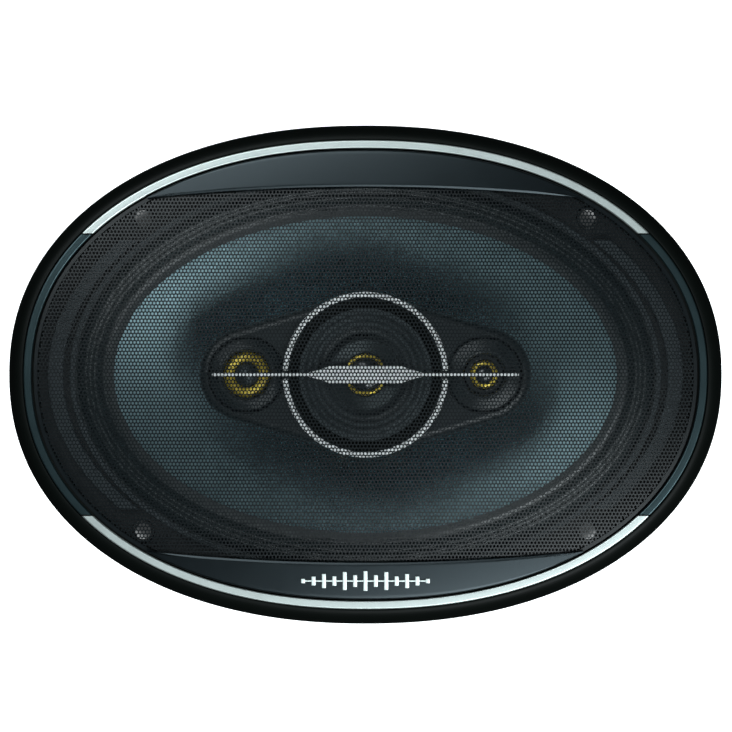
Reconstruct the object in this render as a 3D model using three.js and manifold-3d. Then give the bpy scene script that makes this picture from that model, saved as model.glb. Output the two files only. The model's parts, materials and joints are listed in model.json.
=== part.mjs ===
// A 6 x 9 inch coaxial car speaker, face up: an oval woofer in a stamped basket, with a midrange
// and three tweeters in a pod on its centre post, under a push-on grille.
// Millimetres. +Z is the speaker's axis, towards the listener, and +X is the long way of the oval.
// The origin is the centre of the magnet yoke's rear face.
import * as THREE from "three";
import { mergeVertices } from "three/addons/utils/BufferGeometryUtils.js";
import Module from "manifold-3d";

const wasm = await Module();
wasm.setup();

// ---------- driving dimensions ----------

const BEZEL = { a: 124, b: 86.7 }; // half length and half width of the grille's outer oval
const OVAL_POWER = 2.17; // 2 is a true ellipse: the grille and flange are slightly squarer
const PANEL_Z = 84; // the mounting plane: the flange's rear face, against the car's panel
const GAP = 0.3; // clearance left between touching pieces
const SHEET = 1.2; // the basket's steel

const OVAL_SEGMENTS = 36;
const ROUND_SEGMENTS = 24;
const SMALL_SEGMENTS = 16;

const FLANGE = { a: 118, b: 81.5 };
const BOLT = { x: 77.5, y: 54.6, radius: 2.75 };
const CONE_EDGE = { a: 89.6, b: 57.1, z: 86 };
const CONE_NECK = { r: 18.7, z: 47.5 };
const CONE_CURVE = 1.45; // how much steeper the cone is at its neck than further out
const CONE_BEND = { share: 0.3, slope: 0.8 }; // where the curve ends, and the slope at the edge
const CONE_WALL = 0.8;

const YOKE = { radius: 46, plate: 7, pole: 17.5, poleTop: 32.5, hole: 4.4 };
const MAGNET = { outer: 50, inner: 26, height: 18 };
const TOP_PLATE = { radius: 46, bore: 20.4, height: 6 };
const TOP_PLATE_Z = YOKE.plate + MAGNET.height; // underside of the top plate
const BASKET_Z = TOP_PLATE_Z + TOP_PLATE.height + GAP;

const TRIM_SPLIT_Y = 48.8; // where the silver trims meet the grey side trims
const TRIM_JOINT = 0.5;
const PANEL_EDGE_Y = 65.1; // the crescent panels' straight-looking inner edge, at X = 0
const PANEL_EDGE_RADIUS = 727;
const MESH_EDGE = { a: 115, b: 77.7, z: 96.7 };
const MESH_CROWN = 7.7; // how far the mesh domes above its edge
const MESH_SHEET = 0.8;

const POD = { reach: 41.2, lobe: 16.6, hub: 28.2, top: 99, floor: 89 };
const POD_CUP = { bottom: 78, top: 100.3, bore: 26.6 };
const LOBE_POCKET = 13.1;

// ---------- geometry helpers ----------

// A point on an oval of half axes a and b, at parameter t.
function ovalPoint(a, b, power, t) {
  const c = Math.cos(t);
  const s = Math.sin(t);
  const bend = (v) => Math.sign(v) * Math.abs(v) ** (2 / power);
  return [a * bend(c), b * bend(s)];
}

// Joins rings of points into one closed skin. The last ring joins back to the first.
function skin(rings) {
  const count = rings[0].length;
  const index = [];
  rings.forEach((_, k) => {
    const next = (k + 1) % rings.length;
    for (let i = 0; i < count; i++) {
      const j = (i + 1) % count;
      const [p, q] = [k * count + i, k * count + j];
      const [r, s] = [next * count + i, next * count + j];
      index.push(p, q, s, p, s, r);
    }
  });
  return new THREE.BufferGeometry()
    .setAttribute("position", new THREE.Float32BufferAttribute(rings.flat(2), 3))
    .setIndex(index);
}

// An oval ring whose section is a closed list of [half length, half width, z, power].
function ovalRing(section, segments = OVAL_SEGMENTS) {
  const rings = section.map(([a, b, z, power = 2]) =>
    Array.from({ length: segments }, (_, i) => [
      ...ovalPoint(a, b, power, (2 * Math.PI * i) / segments),
      z,
    ]),
  );
  return solidOf(skin(rings));
}

// The section of a ring that follows the bezel, given as [inset from the bezel's edge, z].
const followingBezel = (section) =>
  section.map(([inset, z]) => [BEZEL.a - inset, BEZEL.b - inset, z, OVAL_POWER]);

// The section of a ring that follows the cone's edge, given as [offset outwards, z].
const followingCone = (section) =>
  section.map(([out, z]) => [CONE_EDGE.a + out, CONE_EDGE.b + out, z]);

// A turned piece about Z, from a profile of [radius, z]. A profile off the axis is closed here.
function turned(profile, segments = ROUND_SEGMENTS) {
  const points = profile.map(([r, z]) => new THREE.Vector2(r, z));
  const onAxis = points[0].x === 0 && points.at(-1).x === 0;
  if (!onAxis) points.push(points[0].clone());
  return solidOf(new THREE.LatheGeometry(points, segments).rotateX(Math.PI / 2));
}

// A tube or ring of rectangular section.
const sleeve = (inner, outer, low, high, segments) =>
  turned([[inner, low], [outer, low], [outer, high], [inner, high]], segments);

// A solid cylinder about Z.
const disc = (radius, low, high, segments) =>
  turned([[0, low], [radius, low], [radius, high], [0, high]], segments);

// A flat outline, [[x, y], ...], raised from low to high.
function raised(outline, low, high) {
  const shape = new THREE.Shape(outline.map(([x, y]) => new THREE.Vector2(x, y)));
  const made = new THREE.ExtrudeGeometry(shape, { depth: high - low, bevelEnabled: false });
  return solidOf(made.translate(0, 0, low));
}

// A box from its low corner to its high corner.
function block([x0, y0, z0], [x1, y1, z1]) {
  const made = new THREE.BoxGeometry(x1 - x0, y1 - y0, z1 - z0);
  return solidOf(made.translate((x0 + x1) / 2, (y0 + y1) / 2, (z0 + z1) / 2));
}

// A round wire along a smooth curve through points.
function wire(points, radius, steps = 12, sides = 8) {
  const section = new THREE.Shape();
  section.absarc(0, 0, radius, 0, 2 * Math.PI);
  const path = new THREE.CatmullRomCurve3(points.map((p) => new THREE.Vector3(...p)));
  const made = new THREE.ExtrudeGeometry(section, {
    steps,
    curveSegments: sides / 2,
    bevelEnabled: false,
    extrudePath: path,
  });
  return solidOf(made);
}

// A closed geometry as a manifold-3d solid, turned the right way out.
function solidOf(geometry) {
  const bare = geometry.index ? geometry.toNonIndexed() : geometry.clone();
  bare.deleteAttribute("normal");
  bare.deleteAttribute("uv");
  const merged = mergeVertices(bare, 1e-4);
  const corners = Array.from(merged.index.array);
  const kept = [];
  for (let i = 0; i < corners.length; i += 3) {
    const [p, q, r] = corners.slice(i, i + 3);
    if (p !== q && q !== r && p !== r) kept.push([p, q, r]);
  }
  const build = (triangles) =>
    new wasm.Manifold(
      new wasm.Mesh({
        numProp: 3,
        vertProperties: merged.attributes.position.array,
        triVerts: new Uint32Array(triangles.flat()),
      }),
    );
  const made = build(kept);
  return made.volume() > 0 ? made : build(kept.map(([p, q, r]) => [p, r, q]));
}

// A manifold-3d solid as three.js geometry.
function geometryOf(solid) {
  const mesh = solid.getMesh();
  const stride = mesh.numProp;
  const places = new Float32Array(mesh.numVert * 3);
  for (let i = 0; i < mesh.numVert; i++) {
    places.set(mesh.vertProperties.subarray(i * stride, i * stride + 3), i * 3);
  }
  return new THREE.BufferGeometry()
    .setAttribute("position", new THREE.BufferAttribute(places, 3))
    .setIndex(new THREE.BufferAttribute(mesh.triVerts, 1));
}

const joined = (...solids) => solids.reduce((whole, next) => whole.add(next));
const cutBy = (solid, ...cutters) => cutters.reduce((left, c) => left.subtract(c), solid);
const quarterTurns = [[1, 1], [-1, 1], [-1, -1], [1, -1]];
const HUGE = 400;

// ---------- materials ----------

const finish = (color, roughness, metalness = 0) =>
  new THREE.MeshStandardMaterial({ color, roughness, metalness });

const blackBezel = finish("#0e1110", 0.3);
const silverPaint = finish("#c9d2d1", 0.3, 0.8);
const gunmetalPaint = finish("#2f3a3f", 0.35, 0.5);
const meshPaint = finish("#15191b", 0.5, 0.2);
const basketPaint = finish("#141516", 0.5, 0.1);
const gasketFoam = finish("#26292b", 0.9);
const conePlastic = finish("#39434a", 0.45);
const surroundRubber = finish("#2a3033", 0.6);
const spiderCloth = finish("#b98a3c", 0.9);
const coilCopper = finish("#b5602f", 0.35, 1);
const formerFoil = finish("#8d8f90", 0.35, 1);
const platedSteel = finish("#a6a59c", 0.35, 1);
const ferrite = finish("#2b2b2e", 0.75);
const podPlastic = finish("#262c2e", 0.5);
const amberFilm = finish("#a8822a", 0.25, 0.2);
const plugPlastic = finish("#1c1f22", 0.3);
const midPaper = finish("#2b3033", 0.7);
const boardPhenolic = finish("#5a3a22", 0.7);
const tinnedBrass = finish("#c8b98a", 0.3, 1);
const tinselCopper = finish("#a86b45", 0.5, 0.8);
const capacitorSleeve = finish("#1d2c55", 0.4);

// ---------- the grille, which pulls off as one ----------

// The black ring: a skirt down to the panel, a rounded shoulder, and a ledge for the trims and mesh.
function grilleBezel() {
  const shell = ovalRing(
    followingBezel([
      [0.5, 84], [0, 84.6], [0.1, 88.5], [0.9, 92.4], [2.4, 95.6], [4.9, 98],
      [5.1, 96.4], [10.6, 96.3], [10.6, 94.9], [5.4, 94.6], [2.6, 91.2], [2.1, 84],
    ]),
  );
  // Ribs inside the skirt that centre the grille on the flange.
  const ribs = [20, 60, 120, 160, 200, 240, 300, 340].map((degrees) => {
    const t = THREE.MathUtils.degToRad(degrees);
    const [x, y] = ovalPoint(BEZEL.a - 3.1, BEZEL.b - 3.1, OVAL_POWER, t);
    const heading = Math.atan2(y / BEZEL.b ** 2, x / BEZEL.a ** 2);
    const rib = new THREE.BoxGeometry(3.2, 1.6, 8).rotateZ(heading);
    return solidOf(rib.translate(x, y, 88.6));
  });
  return joined(shell, ...ribs);
}

// The oval band in the bezel's seat, cut level at four places into two silver and two grey trims.
const trimBand = ovalRing(
  followingBezel([[5.35, 96.7], [5.35, 98.2], [5.8, 98.5], [7.8, 98.5], [8.2, 98.1], [8.2, 96.6]]),
);

function trimAcross(side) {
  const low = TRIM_SPLIT_Y + TRIM_JOINT / 2;
  const [y0, y1] = side > 0 ? [low, HUGE] : [-HUGE, -low];
  return trimBand.intersect(block([-HUGE, y0, 0], [HUGE, y1, HUGE]));
}

function trimAtEnd(side) {
  const high = TRIM_SPLIT_Y - TRIM_JOINT / 2;
  const [x0, x1] = side > 0 ? [0, HUGE] : [-HUGE, 0];
  return trimBand.intersect(block([x0, -high, 0], [x1, high, HUGE]));
}

// Points of the crescents' inner edge: an arc that bows outwards by a few millimetres.
function panelEdge(side, edge, halfLength = 116, steps = 8) {
  return Array.from({ length: steps + 1 }, (_, i) => {
    const x = halfLength * ((2 * i) / steps - 1);
    const drop = PANEL_EDGE_RADIUS - Math.sqrt(PANEL_EDGE_RADIUS ** 2 - x * x);
    return [x, side * (edge - drop)];
  });
}

// A domed oval sheet between two heights above the mesh's underside, of the given half size.
function domedSheet(a, b, low, high) {
  const shares = [0.4, 0.75, 1];
  const height = (share) => MESH_EDGE.z + MESH_CROWN * (1 - (share * a / MESH_EDGE.a) ** 2);
  const ring = (share, lift) => [share * a, share * b, height(share) + lift, OVAL_POWER];
  const tiny = 0.02;
  const core = [tiny, tiny, height(0) + low, 2];
  const cap = [tiny, tiny, height(0) + high, 2];
  const under = shares.map((s) => ring(s, low));
  const over = shares.map((s) => ring(s, high)).reverse();
  return ovalRing([core, ...under, ...over, cap]);
}

function grilleMesh() {
  const tuck = 1.5; // how far the mesh reaches under each crescent panel
  const window = [
    ...panelEdge(-1, PANEL_EDGE_Y + tuck),
    ...panelEdge(1, PANEL_EDGE_Y + tuck).reverse(),
  ];
  const sheet = domedSheet(MESH_EDGE.a, MESH_EDGE.b, 0, MESH_SHEET);
  // A plug closes the pinhole that the sheet's innermost ring leaves.
  const crown = MESH_EDGE.z + MESH_CROWN;
  const plug = disc(1, crown + 0.05, crown + MESH_SHEET - 0.05, 12);
  return joined(sheet, plug).intersect(raised(window, 80, 120));
}

function crescentPanel(side) {
  const wide = [[HUGE, side * HUGE], [-HUGE, side * HUGE]];
  const outline = [...panelEdge(side, PANEL_EDGE_Y), ...wide];
  const low = MESH_SHEET + GAP;
  return domedSheet(115.2, 77.9, low, low + 1.5).intersect(raised(outline, 80, 120));
}

// A plain sound-wave mark on the lower panel: upright bars of different heights on one line.
function panelEmblem() {
  const heights = [1.6, 3.2, 5, 3.4, 6.4, 4.2, 7, 4.2, 6.4, 3.4, 5, 3.2, 1.6];
  const pitch = 3.6;
  const thick = 0.6;
  const bars = heights.map((tall, i) => {
    const x = (i - (heights.length - 1) / 2) * pitch;
    return block([x - 0.7, -tall / 2, 0], [x + 0.7, tall / 2, thick]);
  });
  const span = ((heights.length - 1) * pitch) / 2;
  const line = block([-span, -0.25, 0.05], [span, 0.25, thick - 0.1]);
  const panelSlope = 9.8; // degrees
  return joined(line, ...bars).rotate([panelSlope, 0, 0]).translate([0, -71.4, 100.7]);
}

// ---------- the basket and motor ----------

// Stamped steel: a pan on the top plate, a ledge for the spider, an oval bowl and the flange.
function basket() {
  const z = BASKET_Z;
  const shell = ovalRing([
    [24, 24, z], [46.4, 46.4, z], [48.5, 48.5, 42.6], [58, 57, 42.9],
    [80, 63.5, 62], [101.5, 69, 82.6], [103.4, 70.7, PANEL_Z],
    [FLANGE.a, FLANGE.b, PANEL_Z, OVAL_POWER], [FLANGE.a, FLANGE.b, PANEL_Z + SHEET, OVAL_POWER],
    [102.3, 69.6, PANEL_Z + SHEET], [100.3, 67.8, 83.6], [79, 62.4, 63],
    [57.2, 56.2, 44.1], [47.2, 47.2, 43.8], [45.2, 45.2, z + SHEET], [24, 24, z + SHEET],
  ]);
  const windows = BASKET_WINDOWS.map(basketWindow);
  const holes = quarterTurns.map(([sx, sy]) =>
    disc(BOLT.radius, PANEL_Z - 1, PANEL_Z + 3, SMALL_SEGMENTS).translate([sx * BOLT.x, sy * BOLT.y, 0]),
  );
  return cutBy(shell, ...windows, ...holes);
}

// The six openings between the basket's legs: heading in degrees, half width, and how far out they start.
const BASKET_WINDOWS = [
  { heading: 0, half: 29, start: 50 },
  { heading: 180, half: 29, start: 50 },
  { heading: 56, half: 19, start: 40 },
  { heading: 124, half: 19, start: 40 },
  { heading: 236, half: 19, start: 40 },
  { heading: 304, half: 19, start: 40 },
];
const WINDOW_Z = [49, 79];

// One window's cutter: a prism with rounded corners that points outwards.
function basketWindow({ heading, half, start }) {
  const [low, high] = WINDOW_Z;
  const corner = 6;
  const shape = new THREE.Shape()
    .moveTo(-half + corner, low)
    .lineTo(half - corner, low)
    .absarc(half - corner, low + corner, corner, -Math.PI / 2, 0)
    .lineTo(half, high - corner)
    .absarc(half - corner, high - corner, corner, 0, Math.PI / 2)
    .lineTo(-half + corner, high)
    .absarc(-half + corner, high - corner, corner, Math.PI / 2, Math.PI)
    .lineTo(-half, low + corner)
    .absarc(-half + corner, low + corner, corner, Math.PI, 1.5 * Math.PI);
  const prism = new THREE.ExtrudeGeometry(shape, { depth: 90, curveSegments: 2, bevelEnabled: false });
  // The shape's width runs across the heading, its height up Z, and its depth outwards.
  prism.rotateX(Math.PI / 2).rotateZ(Math.PI / 2).rotateZ(THREE.MathUtils.degToRad(heading));
  const t = THREE.MathUtils.degToRad(heading);
  const made = solidOf(prism);
  const flipped = made.boundingBox().max[2] < 0 ? made.mirror([0, 0, 1]) : made;
  return flipped.translate([start * Math.cos(t), start * Math.sin(t), 0]);
}

// The strip of sealing foam on one end of the flange, cut level at its tips.
function flangeGasket(side) {
  const z = PANEL_Z + SHEET + GAP;
  const corner = (a, b, up) => [a, b, z + up];
  const strip = ovalRing([
    corner(105.3, 70.6, 0), corner(110.6, 73.6, 0), corner(110.6, 73.6, 3.6), corner(105.3, 70.6, 3.6),
  ]);
  const reach = 46.9;
  const [x0, x1] = side > 0 ? [0, HUGE] : [-HUGE, 0];
  return strip.intersect(block([x0, -reach, 0], [x1, reach, HUGE]));
}

// The ring that holds the surround's rim down on the flange.
function clampRing() {
  return ovalRing(followingCone([[11.4, 86.5], [13.4, 86.5], [13.4, 89], [11.4, 89]]));
}

// Back plate and pole in one piece, with a shallow recess at the rear for the post's nut.
function yoke() {
  const { radius, plate, pole, poleTop, hole } = YOKE;
  return turned([
    [hole, 4.2], [10, 4.2], [10, 0], [radius - 1.5, 0], [radius, 1.5], [radius, plate - GAP],
    [pole, plate - GAP], [pole, poleTop - 1], [pole - 1, poleTop], [hole, poleTop],
  ]);
}

const magnet = () => sleeve(MAGNET.inner, MAGNET.outer, YOKE.plate, TOP_PLATE_Z - GAP, OVAL_SEGMENTS);

function topPlate() {
  const { radius, bore, height } = TOP_PLATE;
  return sleeve(bore, radius, TOP_PLATE_Z, TOP_PLATE_Z + height, OVAL_SEGMENTS);
}

// The post that carries the pod: a stud down through the pole to its nut, and a plug that
// fills the middle of the voice coil.
const centrePost = () =>
  turned([[0, 1.2], [3, 1.2], [3, 33], [16.4, 33], [16.4, 52], [9.5, 60], [9.5, 65.2], [0, 65.2]]);
const postNut = () => disc(6.4, 1, 3.9, 6).subtract(disc(3.4, 0, 5, SMALL_SEGMENTS));

// ---------- the moving woofer parts ----------

// The cone's rise at share s of the way from neck to edge: a curve near the neck, which a cubic
// carries on nearly straight to the edge.
function coneRise(s) {
  const { share, slope } = CONE_BEND;
  if (s <= share) {
    return 1 - (1 - s) ** CONE_CURVE;
  }
  const start = 1 - (1 - share) ** CONE_CURVE;
  const startSlope = CONE_CURVE * (1 - share) ** (CONE_CURVE - 1);
  const run = 1 - share;
  const u = (s - share) / run;
  const curve = start * (2 * u ** 3 - 3 * u ** 2 + 1) + run * startSlope * (u ** 3 - 2 * u ** 2 + u);
  return curve + 3 * u ** 2 - 2 * u ** 3 + run * slope * (u ** 3 - u ** 2);
}

const coneHeight = (s) => CONE_NECK.z + (CONE_EDGE.z - CONE_NECK.z) * coneRise(s);

function cone() {
  const at = (s, drop) => [
    CONE_NECK.r + (CONE_EDGE.a - CONE_NECK.r) * s,
    CONE_NECK.r + (CONE_EDGE.b - CONE_NECK.r) * s,
    coneHeight(s) - drop,
  ];
  const shares = [0, 0.14, 0.3, 0.5, 1];
  const front = shares.map((s) => at(s, 0));
  const back = shares.map((s) => at(s, CONE_WALL)).reverse();
  const round = (r, z) => [r, r, z];
  const { r, z } = CONE_NECK;
  const neck = [round(r + 1, z - 0.6), round(r + 1, z - 4), round(r, z - 4)];
  return ovalRing([...front, ...back.slice(0, -1), ...neck]);
}

function surround() {
  const wall = 0.6;
  const top = [[-2, 87], [1.6, 87], [3.2, 89], [9, 89.4], [10.6, 86.1], [13.4, 86.1]];
  const under = top.map(([out, z]) => [out, z - wall]).reverse();
  return ovalRing(followingCone([...top, ...under]));
}

function spider() {
  const wall = 0.7;
  const z = 45.2;
  const waves = [[29.5, z + 1.6], [34, z - 1.2], [38.5, z + 1.6], [43, z - 1.2]];
  const top = [[20.1, z], [25, z], ...waves, [47, z], [54, z]];
  const under = top.map(([r, height]) => [r, height - wall]).reverse();
  return turned([...top, ...under]);
}

const voiceCoilFormer = () => sleeve(18, 18.35, 21, 50);
const voiceCoilWinding = () => sleeve(18.65, 19.5, 22.5, 33.5);

// ---------- terminals and leads ----------

const BOARD = { y: -64.5, z: 63, tilt: 15, thick: 1.6, rivets: 4 };

// Places a piece that is modelled flat against the leg, X across it and Z up it.
function onLeg(solid) {
  return solid.rotate([BOARD.tilt, 0, 0]).translate([0, BOARD.y, BOARD.z]);
}

function terminalBoard() {
  const plate = block([-20, -BOARD.thick, -7], [20, 0, 7]);
  const holes = [-5, 5].map((x) => acrossY(disc(1.3, -5, 5, 12)).translate([x, 0, BOARD.rivets]));
  return onLeg(cutBy(plate, ...holes));
}

// Turns a piece made about Z to lie along Y.
const acrossY = (solid) => solid.rotate([90, 0, 0]);

// A blade that a push-on connector fits, with its solder lug above the board.
function bladeTerminal(x, width) {
  const front = -BOARD.thick - GAP;
  const blade = block([x - width / 2, front - 0.8, -18], [x + width / 2, front, 5]);
  const lug = block([x - 1.2, front - 0.8, 5], [x + 1.2, front, 8]);
  return onLeg(joined(blade, lug));
}

function terminalRivet(x) {
  const head = acrossY(disc(2.1, BOARD.thick + GAP, BOARD.thick + GAP + 0.9, 12));
  const shank = acrossY(disc(1, 0, BOARD.thick + GAP + 0.2, 12));
  return onLeg(joined(head, shank).translate([x, 0, BOARD.rivets]));
}

// A flexible lead from a terminal's lug, round the leg and in by a window, to the cone's back.
function tinselLead(side) {
  const route = [
    [14.3, -69.1, 71.8], [19.5, -67.6, 71.8], [24.8, -62.8, 68], [24.8, -56, 61.5],
    [21, -46, 55], [14.5, -35, 53], [9.8, -29, 55],
  ];
  return wire(route.map(([x, y, z]) => [side * x, y, z]), 0.75);
}

// From the cone's front the circuit goes on to the foot of the pod.
function podLead(side) {
  const route = [
    [7.5, -23.4, 60.3], [7.2, -21.3, 63.3], [6.7, -18.8, 65.7], [6.1, -16.6, 67.3], [5.5, -15, 69],
  ];
  return wire(route.map(([x, y, z]) => [side * x, y, z]), 0.6, 8, 6);
}

const coneEyelet = (side) =>
  disc(1.6, 0.5, 1.3, 12).rotate([-52, 0, side * 17]).translate([side * 8, -25.6, 58.3]);

// The capacitor that keeps bass out of the pod, glued across the board under its rivets.
const crossoverCapacitor = () =>
  onLeg(disc(3.4, -7, 7).rotate([0, 90, 0]).translate([0, -BOARD.thick - GAP - 3.4, -3.2]));

// ---------- the pod ----------

// The outline round the hub and both lobes: arcs joined by straight tangents.
function podOutline(inset = 0) {
  const hub = POD.hub - inset;
  const lobe = POD.lobe - inset;
  const lean = Math.asin((hub - lobe) / POD.reach);
  const arc = (cx, r, from, to, steps) =>
    Array.from({ length: steps + 1 }, (_, i) => {
      const t = from + ((to - from) * i) / steps;
      return [cx + r * Math.cos(t), r * Math.sin(t)];
    });
  const quarter = Math.PI / 2;
  return [
    ...arc(POD.reach, lobe, lean - quarter, quarter - lean, 12),
    ...arc(0, hub, quarter - lean, quarter + lean, 6),
    ...arc(-POD.reach, lobe, quarter + lean, 3 * quarter - lean, 12),
    ...arc(0, hub, 3 * quarter - lean, 3 * quarter + lean, 6),
  ];
}

function podHousing() {
  const { top, floor } = POD;
  const chamfer = 2.4;
  const ring = (inset, z) => podOutline(inset).map(([x, y]) => [x, y, z]);
  const hull = solidOf(
    fan([ring(3, floor), ring(0, floor + 3), ring(0, top - chamfer), ring(chamfer, top)]),
  );
  const cup = disc(POD.hub, POD_CUP.bottom, POD_CUP.top);
  const trunkTop = POD_CUP.bottom + 0.4;
  const trunk = turned([[0, 65.6], [11, 65.6], [13, 68], [24, trunkTop], [0, trunkTop]]);
  const bore = disc(POD_CUP.bore, POD_CUP.bottom + 2, HUGE);
  const pockets = [-1, 1].map((side) => atLobe(side, disc(LOBE_POCKET, floor + 1.6, HUGE)));
  return cutBy(joined(hull, cup, trunk), bore, ...pockets);
}

// Closes a stack of rings with a flat bottom and top, each fanned from its middle.
function fan(rings) {
  const count = rings[0].length;
  const places = rings.flat(2);
  const index = [];
  for (let k = 0; k + 1 < rings.length; k++) {
    for (let i = 0; i < count; i++) {
      const j = (i + 1) % count;
      index.push(k * count + i, k * count + j, (k + 1) * count + j);
      index.push(k * count + i, (k + 1) * count + j, (k + 1) * count + i);
    }
  }
  const last = (rings.length - 1) * count;
  const middle = places.length / 3;
  places.push(0, 0, rings[0][0][2], 0, 0, rings.at(-1)[0][2]);
  for (let i = 0; i < count; i++) {
    const j = (i + 1) % count;
    index.push(middle, j, i, middle + 1, last + i, last + j);
  }
  return new THREE.BufferGeometry()
    .setAttribute("position", new THREE.Float32BufferAttribute(places, 3))
    .setIndex(index);
}

// The silver ring on the pod's rim, in two arcs that leave room for the bar.
function ringTrim(side) {
  const ring = turned([
    [26.8, 100.6], [28.7, 100.6], [28.7, 101.5], [28.1, 102.2], [27.3, 102.2], [26.8, 101.5],
  ]);
  const [y0, y1] = side > 0 ? [1.5, HUGE] : [-HUGE, -1.5];
  return ring.intersect(block([-HUGE, y0, 0], [HUGE, y1, HUGE]));
}

// The silver bar over the pod, with a plain pointed plate at its middle and a foot at each end.
function spearTrim() {
  const [low, high] = [100.7, 101.9];
  const half = 53.2;
  const bar = block([-half, -0.6, low], [half, 0.6, high]);
  const tip = [[12.6, -3.1], [17, -1.2], [21.5, 0], [17, 1.2], [12.6, 3.1]];
  const outline = [...tip, ...tip.map(([x, y]) => [-x, -y])];
  const plate = raised(outline, low - 0.3, high + 0.1);
  const feet = [-1, 1].map((side) => {
    const x = side * (half - 2);
    const foot = block([x - 2, -0.6, POD.top - 2], [x + 2, 0.6, low + 0.2]);
    return foot.subtract(atLobe(side, disc(POD.lobe + 1, 80, POD.top + GAP)));
  });
  return joined(bar, plate, ...feet);
}

// ---------- the midrange in the pod's hub ----------

const midFrame = () =>
  turned([
    [26.3, 98.4], [26.3, 100.3], [25.6, 100.3], [23.3, 98.6], [23.3, 97.6], [21.4, 97.6],
    [21.4, 96.8], [14.4, 89.9], [14.4, 88.6], [15.4, 88.6], [24.4, 96.4],
  ]);
const midMagnet = () => sleeve(9.2, 15, 82.2, 88);
const midYoke = () =>
  turned([[0, 80.4], [15, 80.4], [15, 81.9], [6.4, 81.9], [6.4, 89.4], [0, 89.4]], SMALL_SEGMENTS);
const midTopPlate = () => sleeve(8.3, 14.1, 88.3, 89.6);
const midVoiceCoil = () => sleeve(6.9, 7.7, 84.6, 91.4, SMALL_SEGMENTS);
const midCone = () => turned([[7, 91.8], [7.8, 91.8], [17.4, 96.9], [17.4, 97.5], [16.6, 97.5]]);
const midSurround = () =>
  turned([[17, 97.9], [23, 97.9], [23, 98.4], [21.4, 98.5], [19.7, 99.6], [18.1, 98.6], [17, 98.4]]);

// ---------- the three tweeters ----------

// The dish on the midrange's pole, with a well for its diaphragm.
const centreHorn = () =>
  turned([
    [0, 89.8], [4.6, 89.8], [4.6, 95.2], [8.4, 97.2], [12.4, 98.7], [12.4, 99.7],
    [7.6, 98.2], [7.6, 97], [0, 97],
  ]);
const small = (profile) => turned(profile, SMALL_SEGMENTS);
const centreDiaphragm = () => small([[5.9, 98.1], [7.2, 98.1], [7.2, 98.5], [6.6, 99], [5.9, 98.5]]);
const centrePlug = () => small([[0, 97.4], [5.5, 97.4], [5.5, 98.4], [3.6, 99.4], [0, 99.7]]);

// A side tweeter's parts are turned about the lobe's own axis, then moved out to it.
const atLobe = (side, solid) => solid.translate([side * POD.reach, 0, 0]);
const lobeDish = (opening) =>
  turned([
    [opening, 94.4], [12.8, 94.4], [12.8, 97.3], [opening + 1.4, 98.8], [opening + 0.5, 98.7], [opening, 98],
  ]);
const lobeMagnet = (radius) => disc(radius, POD.floor + 1.9, 93.4, SMALL_SEGMENTS);
const leftDiaphragm = () => small([[4.3, 95], [8, 95], [8, 95.5], [6.2, 96.7], [4.3, 95.7]]);
const leftPlug = () => small([[0, 93.8], [4, 93.8], [4, 96.3], [2.2, 97.3], [0, 98.1]]);
const rightDiaphragm = () => small([[0, 94.7], [4.8, 94.7], [4.8, 95.3], [3.4, 96.5], [0, 97.2]]);
const rightGuard = () => sleeve(5.3, 6.8, 94.7, 95.7, SMALL_SEGMENTS);

// ---------- the assembly ----------

const speaker = new THREE.Group();

function add(name, solid, material) {
  const mesh = new THREE.Mesh(geometryOf(solid), material);
  mesh.name = name;
  speaker.add(mesh);
}

add("grille_bezel", grilleBezel(), blackBezel);
add("trim_top", trimAcross(1), silverPaint);
add("trim_bottom", trimAcross(-1), silverPaint);
add("trim_left", trimAtEnd(-1), gunmetalPaint);
add("trim_right", trimAtEnd(1), gunmetalPaint);
add("panel_top", crescentPanel(1), gunmetalPaint);
add("panel_bottom", crescentPanel(-1), gunmetalPaint);
add("panel_emblem", panelEmblem(), silverPaint);
add("grille_mesh", grilleMesh(), meshPaint);

add("basket", basket(), basketPaint);
add("gasket_left", flangeGasket(-1), gasketFoam);
add("gasket_right", flangeGasket(1), gasketFoam);
add("surround_clamp_ring", clampRing(), gasketFoam);
add("yoke", yoke(), platedSteel);
add("magnet", magnet(), ferrite);
add("top_plate", topPlate(), platedSteel);
add("centre_post", centrePost(), podPlastic);
add("post_nut", postNut(), platedSteel);

add("woofer_cone", cone(), conePlastic);
add("surround", surround(), surroundRubber);
add("spider", spider(), spiderCloth);
add("voice_coil_former", voiceCoilFormer(), formerFoil);
add("voice_coil_winding", voiceCoilWinding(), coilCopper);

add("terminal_board", terminalBoard(), boardPhenolic);
add("terminal_positive", bladeTerminal(14, 6.3), tinnedBrass);
add("terminal_negative", bladeTerminal(-14, 4.8), tinnedBrass);
add("terminal_rivet_1", terminalRivet(-5), tinnedBrass);
add("terminal_rivet_2", terminalRivet(5), tinnedBrass);
add("tinsel_lead_positive", tinselLead(1), tinselCopper);
add("tinsel_lead_negative", tinselLead(-1), tinselCopper);
add("cone_eyelet_positive", coneEyelet(1), tinnedBrass);
add("cone_eyelet_negative", coneEyelet(-1), tinnedBrass);
add("pod_lead_positive", podLead(1), tinselCopper);
add("pod_lead_negative", podLead(-1), tinselCopper);
add("crossover_capacitor", crossoverCapacitor(), capacitorSleeve);

add("pod_housing", podHousing(), podPlastic);
add("ring_trim_upper", ringTrim(1), silverPaint);
add("ring_trim_lower", ringTrim(-1), silverPaint);
add("spear_trim", spearTrim(), silverPaint);

add("mid_frame", midFrame(), podPlastic);
add("mid_yoke", midYoke(), platedSteel);
add("mid_magnet", midMagnet(), ferrite);
add("mid_top_plate", midTopPlate(), platedSteel);
add("mid_cone", midCone(), midPaper);
add("mid_surround", midSurround(), surroundRubber);
add("mid_voice_coil", midVoiceCoil(), coilCopper);

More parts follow.
